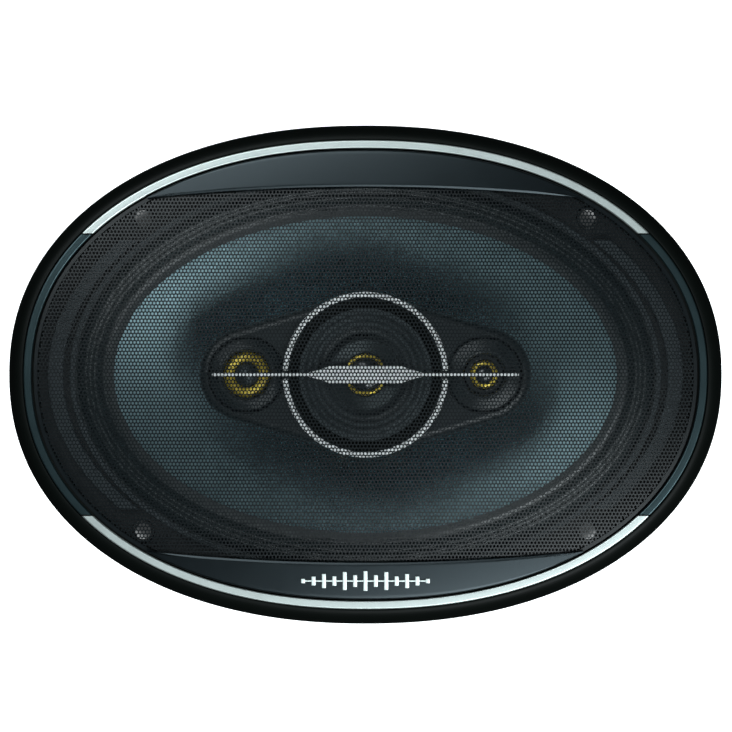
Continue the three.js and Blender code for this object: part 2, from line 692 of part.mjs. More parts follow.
add("centre_tweeter_horn", centreHorn(), podPlastic);
add("centre_tweeter_diaphragm", centreDiaphragm(), amberFilm);
add("centre_tweeter_plug", centrePlug(), plugPlastic);
add("left_tweeter_dish", atLobe(-1, lobeDish(8.4)), podPlastic);
add("left_tweeter_diaphragm", atLobe(-1, leftDiaphragm()), amberFilm);
add("left_tweeter_plug", atLobe(-1, leftPlug()), plugPlastic);
add("left_tweeter_magnet", atLobe(-1, lobeMagnet(10)), ferrite);
add("right_tweeter_dish", atLobe(1, lobeDish(7.2)), podPlastic);
add("right_tweeter_diaphragm", atLobe(1, rightDiaphragm()), amberFilm);
add("right_tweeter_guard", atLobe(1, rightGuard()), plugPlastic);
add("right_tweeter_magnet", atLobe(1, lobeMagnet(8)), ferrite);

export default speaker;
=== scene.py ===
# %% [markdown]
# # A 6 x 9 inch coaxial car speaker
# The speaker lies face up on its magnet and is seen from straight above, through its grille.
# A car speaker is a stack of rings and lofts round one axis, so nearly every piece here is a
# section swept round an oval, or a profile turned round that axis. The sizes follow the measured
# frame, which stays underneath for the parts that nobody sees.

import json
import math

import bmesh
import bpy
import numpy as np
from mathutils import Matrix, Vector


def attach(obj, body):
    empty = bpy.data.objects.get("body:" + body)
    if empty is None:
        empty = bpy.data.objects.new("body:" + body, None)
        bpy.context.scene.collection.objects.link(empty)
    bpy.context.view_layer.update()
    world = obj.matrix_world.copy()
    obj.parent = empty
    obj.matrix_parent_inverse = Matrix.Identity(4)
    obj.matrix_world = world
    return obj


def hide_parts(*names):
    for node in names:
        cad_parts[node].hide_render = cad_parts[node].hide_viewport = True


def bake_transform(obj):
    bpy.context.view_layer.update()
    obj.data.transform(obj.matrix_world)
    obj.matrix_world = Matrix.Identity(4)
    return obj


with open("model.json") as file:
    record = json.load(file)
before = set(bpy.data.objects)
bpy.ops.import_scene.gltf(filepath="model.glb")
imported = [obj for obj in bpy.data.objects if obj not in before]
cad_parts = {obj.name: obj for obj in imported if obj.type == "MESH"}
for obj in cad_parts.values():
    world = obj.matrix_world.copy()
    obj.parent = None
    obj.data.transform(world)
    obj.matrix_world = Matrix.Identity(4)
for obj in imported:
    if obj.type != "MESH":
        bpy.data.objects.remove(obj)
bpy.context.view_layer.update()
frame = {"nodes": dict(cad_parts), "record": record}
MM = 0.001
print("nodes in the frame:", len(frame["nodes"]))

# %% Which body each node belongs to
bodies = frame["record"]["behaviour"]["bodies"]
body_of = {name: body for body, names in bodies.items() for name in names}
print("bodies:", sorted(set(body_of.values())))

# %% [markdown]
# ## Shapes by rows of points
# One mesh maker is enough for the whole speaker: a sheet of quads through rows of points. A closed
# section gives a ring, a profile that ends on the axis gives a solid of revolution, and end caps
# close a ring that is only an arc. Corners are eased with a small curve, because no moulded or
# pressed edge is truly sharp, and it is the eased edge that catches the light.

# %% Rows of points to a mesh
def tidy_mesh(name, points, faces, sharp=35):
    """A mesh object from points in millimetres, welded, faced outwards and smooth-shaded."""
    mesh = bpy.data.meshes.new(name)
    mesh.from_pydata((np.asarray(points, float) * MM).tolist(), [], faces)
    work = bmesh.new()
    work.from_mesh(mesh)
    bmesh.ops.remove_doubles(work, verts=work.verts, dist=2e-6)
    bmesh.ops.dissolve_degenerate(work, edges=work.edges, dist=1e-7)
    bmesh.ops.recalc_face_normals(work, faces=work.faces)
    work.to_mesh(mesh)
    work.free()
    mesh.shade_smooth()
    mesh.set_sharp_from_angle(angle=math.radians(sharp))
    made = bpy.data.objects.new(name, mesh)
    bpy.context.scene.collection.objects.link(made)
    return made


def sheet_faces(rows, columns, wrap_rows, wrap_columns, first=0):
    """The quads of a grid of points, optionally joined to itself either way."""
    index = first + np.arange(rows * columns).reshape(rows, columns)
    if wrap_rows:
        index = np.vstack([index, index[:1]])
    if wrap_columns:
        index = np.hstack([index, index[:, :1]])
    corners = index[:-1, :-1], index[:-1, 1:], index[1:, 1:], index[1:, :-1]
    return np.stack(corners, axis=-1).reshape(-1, 4).tolist()


def lofted(name, rows, ring_section=True, full_turn=True, sharp=35):
    """A piece through rows of points. Each row runs round it, and the rows make its section."""
    rows = np.asarray(rows, float)
    count, width = rows.shape[:2]
    faces = sheet_faces(count, width, ring_section, full_turn)
    if not full_turn:
        grid = np.arange(count * width).reshape(count, width)
        faces += [grid[:, 0].tolist(), grid[::-1, -1].tolist()]
    return tidy_mesh(name, rows.reshape(-1, 3), faces, sharp)


# %% Eased corners and turned pieces
def eased(profile, radius=0.4, closed=True, steps=4):
    """A profile with each corner rounded by a short curve of about that radius."""
    points = np.asarray(profile, float)
    eased_points = []
    for i, corner in enumerate(points):
        if not closed and i in (0, len(points) - 1):
            eased_points.append(corner)
            continue
        arms = points[i - 1] - corner, points[(i + 1) % len(points)] - corner
        lengths = [max(np.linalg.norm(arm), 1e-9) for arm in arms]
        reach = min(radius, 0.45 * min(lengths))
        start, end = (corner + arm / length * reach for arm, length in zip(arms, lengths))
        for s in np.linspace(0, 1, steps):
            eased_points.append((1 - s) ** 2 * start + 2 * s * (1 - s) * corner + s * s * end)
    return np.array(eased_points)


def turned(name, profile, centre=0.0, ease=0.3, segments=128, steps=4):
    """A piece turned about Z at x = centre, from a profile of (radius, z)."""
    on_axis = profile[0][0] == 0 and profile[-1][0] == 0
    points = eased(profile, ease, closed=not on_axis, steps=steps)
    turn = np.linspace(0, 2 * math.pi, segments, endpoint=False)
    rows = [
        np.stack([centre + r * np.cos(turn), r * np.sin(turn), np.full(segments, z)], axis=-1)
        for r, z in points
    ]
    return lofted(name, rows, ring_section=not on_axis)


# %% [markdown]
# ## The oval
# The grille is a little squarer than an ellipse. A superellipse with a power of 2.17 fits it, where
# 2 would be an ellipse. The cone and the surround inside are true ellipses. A trim that covers only
# part of the oval stops at a level cut, so each point of its section gets its own share of the turn.

# %% Bands round an oval
OVAL_POWER = 2.17
BEZEL = (124.0, 86.7)


def oval(a, b, power, t):
    """Points of an oval of half axes a and b at the parameters t."""
    def bend(v):
        return np.sign(v) * np.abs(v) ** (2 / power)

    return a * bend(np.cos(t)), b * bend(np.sin(t))


def band(name, section, side=None, cut=0.0, segments=360, sharp=35):
    """A band round ovals, from a section of (half length, half width, z, power). With a side, it
    keeps only the stretch past |y| = cut at the top or bottom, or inside it at the left or right."""
    rows = []
    for a, b, z, power in section:
        tip = math.asin(min(1.0, cut / b) ** (power / 2))
        low, high = {
            None: (0, 2 * math.pi), "top": (tip, math.pi - tip), "right": (-tip, tip),
            "left": (math.pi - tip, math.pi + tip), "bottom": (math.pi + tip, 2 * math.pi - tip),
        }[side]
        t = np.linspace(low, high, segments, endpoint=side is not None)
        x, y = oval(a, b, power, t)
        rows.append(np.stack([x, y, np.full(segments, z)], axis=-1))
    return lofted(name, rows, full_turn=side is None, sharp=sharp)


def inside_bezel(section):
    """A section given as (inset from the grille's edge, z) as ovals."""
    return [(BEZEL[0] - inset, BEZEL[1] - inset, z, OVAL_POWER) for inset, z in section]


# %% [markdown]
# ## Finishing a piece
# Each new piece takes the place of its node in the frame: unless told not to, it rides on the same
# moving body, and it hides the plain solid and takes the material it is given. A weighted-normal
# modifier shades the flat faces flat and leaves the roundness to the eased corners.

# %% Put a piece in its node's place
def fit(piece, material, *nodes, weighted=True, ride=True):
    """Gives a piece its material and lets it stand for its nodes."""
    piece.data.materials.clear()
    piece.data.materials.append(material)
    if weighted:
        piece.modifiers.new("flat_faces", "WEIGHTED_NORMAL").keep_sharp = True
    if ride:
        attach(piece, body_of[nodes[0]])
    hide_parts(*nodes)
    return piece


def merged(name, *pieces):
    """Several meshes as one piece."""
    work = bmesh.new()
    for piece in pieces:
        work.from_mesh(piece.data)
    mesh = bpy.data.meshes.new(name)
    work.to_mesh(mesh)
    work.free()
    for piece in pieces:
        bpy.data.objects.remove(piece)
    made = bpy.data.objects.new(name, mesh)
    bpy.context.scene.collection.objects.link(made)
    return made


# %% Boxes, prisms and cuts
def prism(name, outline, low, high, ease=0.0):
    """A flat outline of (x, y) raised from low to high, with its rims eased."""
    outline = np.asarray(outline, float)
    middle = outline.mean(axis=0)
    size = np.abs(outline - middle).max()
    levels = [(0, low), (0, high)]
    if ease:
        levels = [(ease, low), (0, low + ease), (0, high - ease), (ease, high)]
    rows = [
        np.column_stack([middle + (outline - middle) * (1 - inset / size), np.full(len(outline), z)])
        for inset, z in levels
    ]
    faces = sheet_faces(len(rows), len(outline), False, True)
    top = (len(rows) - 1) * len(outline)
    faces += [list(range(len(outline)))[::-1], list(range(top, top + len(outline)))]
    return tidy_mesh(name, np.vstack(rows), faces)


def box(name, low, high, ease=0.25):
    """A box from its low to its high corner, with eased edges."""
    corners = [(low[0], low[1]), (high[0], low[1]), (high[0], high[1]), (low[0], high[1])]
    made = prism(name, corners, low[2], high[2])
    if ease:
        with_bevel(made, ease)
    return made


def applied(piece, modifier):
    """Applies a modifier, so that the piece is a plain mesh again."""
    with bpy.context.temp_override(object=piece, active_object=piece, selected_objects=[piece]):
        bpy.ops.object.modifier_apply(modifier=modifier.name)
    return piece


def with_bevel(piece, width, segments=2, angle=40):
    """Eases every edge sharper than the angle."""
    bevel = piece.modifiers.new("eased_edges", "BEVEL")
    bevel.width = width * MM
    bevel.segments = segments
    bevel.limit_method = "ANGLE"
    bevel.angle_limit = math.radians(angle)
    applied(piece, bevel)
    piece.data.shade_smooth()
    piece.data.set_sharp_from_angle(angle=math.radians(35))
    return piece


def combined(piece, operation, *others):
    """Cuts or joins a piece with others, which are used up."""
    for other in others:
        cut = piece.modifiers.new("cut", "BOOLEAN")
        cut.operation = operation
        cut.solver = "EXACT"
        cut.object = other
        applied(piece, cut)
        bpy.data.objects.remove(other)
    piece.data.shade_smooth()
    piece.data.set_sharp_from_angle(angle=math.radians(35))
    return piece


# %% [markdown]
# ## Materials
# Colours are written as sRGB hex and turned to linear light by one function. Every surface works in
# real millimetres: the object's own coordinates are metres, so they are multiplied by a thousand and
# each pattern's scale is one over its real size.

# %% Colour and node helpers
def linear(code):
    """An sRGB hex colour as linear red, green, blue and alpha."""
    parts = [int(code[i:i + 2], 16) / 255 for i in (1, 3, 5)]
    return tuple(c / 12.92 if c <= 0.04045 else ((c + 0.055) / 1.055) ** 2.4 for c in parts) + (1.0,)


def node(tree, kind, settings=(), **links):
    """Adds one node. Settings are properties or input values by name; links are inputs' sources."""
    made = tree.nodes.new(kind)
    for key, value in dict(settings).items():
        if hasattr(made, key):
            setattr(made, key, value)
        else:
            made.inputs[key].default_value = value
    for key, source in links.items():
        tree.links.new(source, made.inputs[key.replace("_", " ")])
    return made


def finish(name, colour, roughness, metallic=0.0, grain=0.5, depth=0.01, patch=9.0, shift=0.06,
           **fixed):
    """A surface with grain (size and depth in millimetres) and faint patches in colour and gloss."""
    made = bpy.data.materials.new(name)
    made.use_nodes = True
    tree = made.node_tree
    shader = tree.nodes["Principled BSDF"]
    shader.inputs["Metallic"].default_value = metallic
    for key, value in fixed.items():
        shader.inputs[key.replace("_", " ")].default_value = value
    place = node(tree, "ShaderNodeTexCoord").outputs["Object"]
    real = node(tree, "ShaderNodeVectorMath", {"operation": "SCALE", "Scale": 1000.0}, Vector=place)
    mm = real.outputs["Vector"]
    cloud = node(tree, "ShaderNodeTexNoise", {"Scale": 1 / patch, "Detail": 4.0}, Vector=mm)
    base = linear(colour)
    dark = tuple(c * (1 - shift) for c in base[:3]) + (1.0,)
    light = tuple(min(1.0, c * (1 + shift)) for c in base[:3]) + (1.0,)
    tint = node(tree, "ShaderNodeMix", {"data_type": "RGBA"})
    tree.links.new(cloud.outputs["Fac"], tint.inputs["Factor"])
    tint.inputs[6].default_value = dark
    tint.inputs[7].default_value = light
    tree.links.new(tint.outputs[2], shader.inputs["Base Color"])
    gloss = node(tree, "ShaderNodeMapRange", {
        "To Min": max(0.02, roughness * 0.88), "To Max": min(1.0, roughness * 1.12),
    }, Value=cloud.outputs["Fac"])
    tree.links.new(gloss.outputs["Result"], shader.inputs["Roughness"])
    speck = node(tree, "ShaderNodeTexNoise", {"Scale": 1 / grain, "Detail": 2.0}, Vector=mm)
    bump = node(tree, "ShaderNodeBump", {"Distance": depth * MM, "Strength": 0.8},
                Height=speck.outputs["Fac"])
    tree.links.new(bump.outputs["Normal"], shader.inputs["Normal"])
    return made


def parts_of(made):
    """A finish's node tree, its shader, its millimetre coordinates, its tint and its bump."""
    tree = made.node_tree
    kinds = {n.bl_idname: n for n in tree.nodes}
    return (tree, kinds["ShaderNodeBsdfPrincipled"], kinds["ShaderNodeVectorMath"].outputs["Vector"],
            kinds["ShaderNodeMix"], kinds["ShaderNodeBump"])


# %% [markdown]
# ### The grille's plastics and lacquers
# The bezel is moulded ABS with a fine satin texture. The trims are ABS too, sprayed with a silver or
# a gunmetal lacquer: a metallic base coat whose aluminium flakes sparkle, under a clear coat that
# gives the soft sheen. The two crescent panels have the darker gunmetal.

# %% Moulded ABS and metallic lacquer
moulded_abs = finish("moulded_abs_satin", "#050706", 0.46, grain=0.35, depth=0.004,
                     Specular_IOR_Level=0.055)
pod_abs = finish("moulded_abs_charcoal", "#1b2326", 0.36, grain=0.4, depth=0.006, shift=0.08)


def metallic_lacquer(name, colour, roughness, sparkle):
    """A sprayed metallic base coat. Real flakes are 0.02 mm, drawn at 0.25 mm so that they show."""
    made = finish(name, colour, roughness, metallic=0.85, grain=0.6, depth=0.002, shift=0.03,
                  Coat_Weight=0.1, Coat_Roughness=0.2)
    tree, shader, mm, tint, _ = parts_of(made)
    flakes = node(tree, "ShaderNodeTexVoronoi", {"Scale": 1 / 0.25}, Vector=mm)
    spread = node(tree, "ShaderNodeMapRange", {"To Min": 1 - sparkle, "To Max": 1 + sparkle},
                  Value=flakes.outputs["Color"])
    lit = node(tree, "ShaderNodeMix", {"data_type": "RGBA", "blend_type": "MULTIPLY"})
    lit.inputs[0].default_value = 1.0
    tree.links.new(tint.outputs[2], lit.inputs[6])
    tree.links.new(spread.outputs["Result"], lit.inputs[7])
    tree.links.new(lit.outputs[2], shader.inputs["Base Color"])
    return made


silver_lacquer = metallic_lacquer("silver_lacquer_on_abs", "#9fa6a4", 0.4, 0.06)
# The pod's silver is a vacuum-metallised mirror coat, but it is drawn as a near-white matte colour: a
# painted reflection that stands in for its shine.
silver_with_painted_shine = finish("vacuum_metallised_abs_painted_shine", "#fcfdfd", 0.35, metallic=0.0, grain=0.6, depth=0.002,
                       shift=0.02)
gunmetal_lacquer = metallic_lacquer("gunmetal_lacquer_on_abs", "#263437", 0.3, 0.1)
dark_gunmetal = metallic_lacquer("dark_gunmetal_lacquer_on_abs", "#10171a", 0.3, 0.1)
print("lacquers:", silver_lacquer.name, gunmetal_lacquer.name)

# %% [markdown]
# ### Sheet metal, cone and rubber
# The perforated grille sheet is steel with a thin, satin, near-black powder coat. The woofer's cone
# is injected polypropylene filled with mica. The flakes lie flat in its skin and reflect like dull
# metal, so it is set as a metal with a cool grey colour. The surround is butyl-type rubber, darker
# and with a soft shine, and the basket is pressed steel under black paint.

# %% Powder coat, mica-filled polypropylene and rubber
powder_coat = finish("powder_coated_steel", "#04080a", 0.3, grain=0.3, depth=0.004,
                     Specular_IOR_Level=0.2)
mica_cone = finish("mica_filled_polypropylene", "#96b2b9", 0.52, metallic=1.0, grain=0.4, depth=0.004,
                   shift=0.1)
butyl_rubber = finish("butyl_rubber", "#222a2c", 0.38, grain=0.7, depth=0.003,
                      Specular_IOR_Level=0.9)
painted_steel = finish("painted_pressed_steel", "#131516", 0.4, grain=1.2, depth=0.012)
gasket_foam = finish("closed_cell_foam", "#3a4043", 0.85, grain=0.8, depth=0.06, shift=0.12)
coated_paper = finish("coated_paper_cone", "#2f3639", 0.5, grain=0.5, depth=0.02, shift=0.12)

# %% [markdown]
# ### The small parts
# Polyimide film is the amber sheet of tweeter diaphragms: thin, glossy and a little see-through. It
# is drawn as an opaque gold under a clear coat, as it looks over the pale backing behind it.

# %% Film, plugs, phenolic board and capacitor
amber_film = finish("polyimide_film_amber", "#dfc44a", 0.32, metallic=0.6, grain=1.0, depth=0.004,
                    Coat_Weight=0.6, Coat_Roughness=0.08)
grey_dish = finish("moulded_abs_grey", "#2b3335", 0.4, metallic=0.5, grain=0.6, depth=0.004)
mid_rubber = finish("coated_cloth_roll", "#343c3f", 0.5, metallic=0.4, grain=0.5, depth=0.005)
gloss_plug = finish("moulded_plug_gloss", "#23282b", 0.2, grain=1.0, depth=0.003, Coat_Weight=0.4)
phenolic = finish("paper_phenolic_board", "#5c3a20", 0.55, grain=0.3, depth=0.01, shift=0.2)
sleeve_film = finish("shrunk_pvc_sleeve", "#1b2c58", 0.3, grain=1.5, depth=0.006, Coat_Weight=0.3)
ferrite = finish("sintered_ferrite", "#27272a", 0.62, grain=0.25, depth=0.02, shift=0.18)

# %% [markdown]
# ### Metals with tool marks
# The yoke and top plate are turned steel with a zinc plate. The lathe leaves rings about 0.3 mm
# apart; they are drawn 0.8 mm apart here, so that they show at all at this size.

# %% Plated steel, tinned brass, copper and foil
WAVES = 3.18  # how many waves a wave texture of scale 1 draws in one unit


def turned_metal(name, colour, roughness, pitch):
    """A plated metal with the lathe's rings round Z as a fine bump."""
    made = finish(name, colour, roughness, metallic=1.0, grain=0.5, depth=0.003, shift=0.08)
    tree, shader, mm, _, bump = parts_of(made)
    rings = node(tree, "ShaderNodeTexWave", {
        "wave_type": "RINGS", "rings_direction": "Z", "Scale": 1 / pitch / WAVES, "Distortion": 0.3,
    }, Vector=mm)
    marks = node(tree, "ShaderNodeBump", {"Distance": 0.012 * MM, "Strength": 0.5},
                 Height=rings.outputs["Fac"], Normal=bump.outputs["Normal"])
    tree.links.new(marks.outputs["Normal"], shader.inputs["Normal"])
    return made


zinc_plate = turned_metal("zinc_plated_steel", "#b4b5ad", 0.36, 0.8)
tinned_brass = finish("tin_plate_on_brass", "#cfc6a2", 0.28, metallic=1.0, grain=0.4, depth=0.004)
copper_wire = finish("enamelled_copper", "#b4622f", 0.35, metallic=1.0, grain=0.25, depth=0.03)
rolled_foil = finish("rolled_foil", "#98999a", 0.35, metallic=1.0, grain=0.4, depth=0.004)

# %% [markdown]
# ### Woven things
# The spider is cotton cloth dipped in resin: crossed threads about 0.5 mm apart, drawn at 0.9 mm.
# The flexible leads are braided tinsel, so a slanting wave gives them the twist.

# %% Resin-dipped cotton and tinsel braid
def woven(made, spacing, depth):
    """Adds crossed threads of that spacing, in millimetres, to a finish's bump."""
    tree, shader, mm, _, bump = parts_of(made)
    crossed = node(tree, "ShaderNodeMath", {"operation": "ADD"})
    for direction, height in zip("XY", crossed.inputs):
        threads = node(tree, "ShaderNodeTexWave", {
            "bands_direction": direction, "Scale": 1 / spacing / WAVES, "Distortion": 0.4,
        }, Vector=mm)
        tree.links.new(threads.outputs["Fac"], height)
    weave = node(tree, "ShaderNodeBump", {"Distance": depth * MM, "Strength": 0.9},
                 Height=crossed.outputs["Value"], Normal=bump.outputs["Normal"])
    tree.links.new(weave.outputs["Normal"], shader.inputs["Normal"])
    return made


dipped_cotton = woven(finish("resin_dipped_cotton", "#b5873c", 0.8, grain=0.4, depth=0.02,
                             Sheen_Weight=0.3), 0.9, 0.08)
tinsel_braid = woven(finish("tinsel_braid", "#a8704a", 0.45, metallic=0.9, grain=0.3, depth=0.02),
                     0.6, 0.08)
print("materials:", len(bpy.data.materials))

# %% [markdown]
# ## The grille's bezel
# The black ring is one moulding: a skirt that reaches back to the car's panel, a rounded shoulder,
# and an inner ledge that carries the trims and the mesh. It is one closed section swept round the
# oval. Eight ribs inside centre it on the flange.

# %% Bezel
shoulder = [(5.0 - 5.0 * math.cos(u) ** 1.15, 90.0 + 8.0 * math.sin(u) ** 1.1)
            for u in np.linspace(0, math.pi / 2, 12)]
bezel_section = ([(0.5, 84.0), (0.0, 84.6)] + shoulder
                 + [(5.15, 97.7), (5.2, 96.4), (10.6, 96.3), (10.6, 94.9), (5.4, 94.6), (2.6, 91.2),
                    (2.1, 84.0)])
bezel = band("bezel_moulding", inside_bezel(eased(bezel_section, 0.18, steps=3)), segments=480)
ribs = []
for degrees in (20, 60, 120, 160, 200, 240, 300, 340):
    x, y = oval(BEZEL[0] - 3.1, BEZEL[1] - 3.1, OVAL_POWER, math.radians(degrees))
    heading = math.atan2(y / BEZEL[1] ** 2, x / BEZEL[0] ** 2)
    rib = box("rib", (-1.6, -0.8, 84.6), (1.6, 0.8, 92.6), 0.2)
    rib.data.transform(Matrix.Translation((x * MM, y * MM, 0)) @ Matrix.Rotation(heading, 4, "Z"))
    ribs.append(rib)
fit(merged("bezel", bezel, *ribs), moulded_abs, "grille_bezel")
print("bezel outline:", 2 * BEZEL[0], "x", 2 * BEZEL[1], "mm")

# %% [markdown]
# ## The trims
# The oval band inside the bezel is four mouldings: silver at the top and bottom, gunmetal at the two
# ends, all cut level at the same height. Their tops are very slightly crowned, so a soft light
# slides along them instead of filling them all at once.

# %% Trims
TRIM_SPLIT = 48.8
trim_section = [(5.4, 96.6), (5.35, 98.1), (5.7, 98.4), (7.8, 98.56), (8.15, 98.2), (8.2, 96.6)]
for side, paint in (("top", silver_lacquer), ("bottom", silver_lacquer), ("left", gunmetal_lacquer),
                    ("right", gunmetal_lacquer)):
    cut = TRIM_SPLIT + (0.25 if side in ("top", "bottom") else -0.25)
    trim = band(f"{side}_trim", inside_bezel(eased(trim_section, 0.15, steps=3)), side, cut, 220)
    fit(trim, paint, f"trim_{side}")

# %% [markdown]
# ## The crescent panels
# Above and below the mesh are two gunmetal crescents. Their outer edge follows the oval, their inner
# edge is a very flat arc with a bright chamfer, and their faces carry on the dome of the mesh.

# %% The dome that the mesh and the panels share
MESH_EDGE = (115.0, 77.7, 96.7)
MESH_CROWN = 7.7
MESH_SHEET = 0.8
PANEL_EDGE = 65.15
PANEL_ARC = 727.0


def dome(x, y):
    """Height of the mesh's underside."""
    power = OVAL_POWER
    share = (np.abs(x / MESH_EDGE[0]) ** power + np.abs(y / MESH_EDGE[1]) ** power) ** (1 / power)
    return MESH_EDGE[2] + MESH_CROWN * (1 - share ** 2)


def panel_edge(x):
    """Distance of a crescent's inner edge from the middle line."""
    return PANEL_EDGE - (PANEL_ARC - np.sqrt(PANEL_ARC ** 2 - x * x))


# %% Crescent panels
PANEL_OVAL = (115.25, 77.95)  # half axes of the panels' outer edge
PANEL_TIP = 75.6  # how far from the middle a panel's tips are


def crescent(name, side):
    """One panel: sections across it from the inner edge to the oval, from tip to tip."""
    a, b = PANEL_OVAL
    x = PANEL_TIP * np.sin(np.linspace(-math.pi / 2, math.pi / 2, 160))
    inner_y = panel_edge(x)
    outer_y = b * (1 - np.abs(x / a) ** OVAL_POWER) ** (1 / OVAL_POWER)
    width = np.maximum(outer_y - inner_y, 0.05)
    bottom, top, chamfer = MESH_SHEET + 0.3, MESH_SHEET + 1.8, 0.75
    face = [(s, None, top) for s in np.linspace(0, 1, 9)[1:-1]]
    section = [(0, 0.0, bottom), (0, 0.0, top - 0.42), (0, 0.08, top - 0.33), (0, chamfer, top - 0.03),
               (0, chamfer + 0.12, top)]
    section += face + [(1, -0.5, top), (1, -0.15, top - 0.12), (1, 0.0, top - 0.5), (1, 0.0, bottom)]
    rows = []
    for anchor, offset, lift in section:
        y = inner_y + anchor * width
        if offset is not None:
            y = y + np.clip(offset, -width / 3, width / 3)
        rows.append(np.stack([x, side * y, dome(x, y) + lift], axis=-1))
    return lofted(name, rows, full_turn=False, sharp=50)


fit(crescent("top_panel", 1), dark_gunmetal, "panel_top")
fit(crescent("bottom_panel", -1), dark_gunmetal, "panel_bottom")

# %% [markdown]
# ## A plain mark on the lower panel
# The lower panel carries a small silver mark. Here it is a row of upright bars, like a drawing of a
# sound wave, and says nothing.

# %% Sound-wave mark
bars = []
heights = (1.6, 3.2, 5.0, 3.4, 6.4, 4.2, 7.0, 4.2, 6.4, 3.4, 5.0, 3.2, 1.6)
for i, tall in enumerate(heights):
    x = (i - (len(heights) - 1) / 2) * 3.6
    bars.append(box("bar", (x - 0.7, -tall / 2, 0), (x + 0.7, tall / 2, 0.6), 0.15))
bars.append(box("line", (-21.6, -0.25, 0.05), (21.6, 0.25, 0.5), 0.1))
mark = merged("sound_wave_mark", *bars)
slope = Matrix.Rotation(math.radians(9.8), 4, "X")
mark.data.transform(Matrix.Translation((0, -71.4 * MM, 100.55 * MM)) @ slope)
fit(mark, silver_lacquer, "panel_emblem")

# %% [markdown]
# ## The perforated sheet
# The grille sheet is punched with rows of small hexagonal holes, every other row shifted by half a
# pitch. The holes are real here, because what shows of the cone and the pod is only what comes
# through them. Each hole has six walls, and between neighbouring holes lies a strand with a face in
# front and behind. The faces are shaded flat, because a punched sheet has a flat front: it lights up
# only where the dome tilts it towards a lamp, near two of the corners, and stays dark in the middle.
# The sheet is made in three pieces side by side, to keep each mesh light.

# %% The pattern of holes
PITCH = 1.24
ROW = 1.24
HOLE_SHARE = 0.68  # a hole's width as a share of its cell
THIN = 0.45  # thickness of the sheet itself, which lies in the front of its measured envelope
GRID_ROWS, GRID_COLUMNS = 54, 93  # rows and columns of the grid on each side of the middle


def hole_centres():
    """Whole holes on the grid: their x, y and which of them exist, as row by column arrays."""
    rows = np.arange(-GRID_ROWS, GRID_ROWS + 1)
    columns = np.arange(-GRID_COLUMNS, GRID_COLUMNS + 1)
    x = (columns[None, :] + 0.5 * (rows[:, None] % 2)) * PITCH
    y = np.repeat(rows[:, None] * ROW, len(columns), axis=1)
    margin = 0.75
    a, b = MESH_EDGE[0] - margin, MESH_EDGE[1] - margin
    inside = (np.abs(x) / a) ** OVAL_POWER + (np.abs(y) / b) ** OVAL_POWER < 1
    inside &= np.abs(y) < panel_edge(x) + 1.5 - margin
    return x, y, inside


grid_x, grid_y, exists = hole_centres()
print("holes in the sheet:", int(exists.sum()))


# %% Strands, junctions and walls
def hole_outline():
    """The corners of one hole, from the top going left."""
    tall = (PITCH ** 2 / 4 + ROW ** 2) / (2 * ROW)
    short = (ROW ** 2 - PITCH ** 2 / 4) / (2 * ROW)
    half = PITCH / 2
    corners = [(0, tall), (-half, short), (-half, -short), (0, -tall), (half, -short), (half, short)]
    return np.array(corners) * HOLE_SHARE


def sheet_points():
    """Front and back corners of every hole: an array of hole, corner (front then back), xyz."""
    outline = hole_outline()
    x = grid_x[exists][:, None] + outline[None, :, 0]
    y = grid_y[exists][:, None] + outline[None, :, 1]
    under = dome(x, y)
    front = np.stack([x, y, under + MESH_SHEET], axis=-1)
    return np.concatenate([front, np.stack([x, y, under + MESH_SHEET - THIN], axis=-1)], axis=1)


def sheet_strands():
    """Quads and triangles between the holes, each with the number of the hole it belongs to."""
    number = np.full(exists.shape, -1)
    number[exists] = np.arange(exists.sum())
    quads, triangles = [], []
    shifted = np.arange(-GRID_ROWS, GRID_ROWS + 1) % 2
    for r in range(number.shape[0]):
        for c in range(number.shape[1]):
            here = number[r, c]
            if here < 0:
                continue
            right = number[r, c + 1] if c + 1 < number.shape[1] else -1
            up_left = up_right = -1
            if r + 1 < number.shape[0]:
                left_column = c - 1 + shifted[r]
                up_left = number[r + 1, left_column] if left_column >= 0 else -1
                up_right = number[r + 1, left_column + 1]
            if right >= 0:
                quads.append([(here, 5), (here, 4), (right, 2), (right, 1)])
            if up_right >= 0:
                quads.append([(here, 0), (here, 5), (up_right, 3), (up_right, 2)])
            if up_left >= 0:
                quads.append([(here, 1), (here, 0), (up_left, 4), (up_left, 3)])
            if up_left >= 0 and up_right >= 0:
                triangles.append([(here, 0), (up_right, 2), (up_left, 4)])
            if right >= 0 and up_right >= 0:
                triangles.append([(here, 5), (right, 1), (up_right, 3)])
            quads += [[(here, k), (here, (k + 1) % 6), (here, (k + 1) % 6 + 6), (here, k + 6)]
                      for k in range(6)]
    return quads, triangles


# %% Build the sheet in three pieces
def faces_of(cells):
    """Corner numbers in the whole sheet, and the owner of each face, with the back's copies."""
    cells = np.array(cells)
    corner = cells[..., 0] * 12 + cells[..., 1]
    flat = (cells[..., 1] < 6).all(axis=1)
    back = corner[flat][:, ::-1] + 6
    owner = np.concatenate([cells[:, 0, 0], cells[flat][:, 0, 0]])
    return np.concatenate([corner, back]), owner


def mesh_piece(name, points, quads, triangles, keep):
    """The faces whose owners are kept, as a mesh of its own."""
    chosen = [faces[keep[owner]] for faces, owner in (quads, triangles)]
    used = np.unique(np.concatenate([faces.ravel() for faces in chosen]))
    renumber = np.zeros(len(points), int)
    renumber[used] = np.arange(len(used))
    mesh = bpy.data.meshes.new(name)
    faces = [face for group in chosen for face in renumber[group].tolist()]
    mesh.from_pydata((points[used] * MM).tolist(), [], faces)
    mesh.shade_flat()
    made = bpy.data.objects.new(name, mesh)
    bpy.context.scene.collection.objects.link(made)
    return made


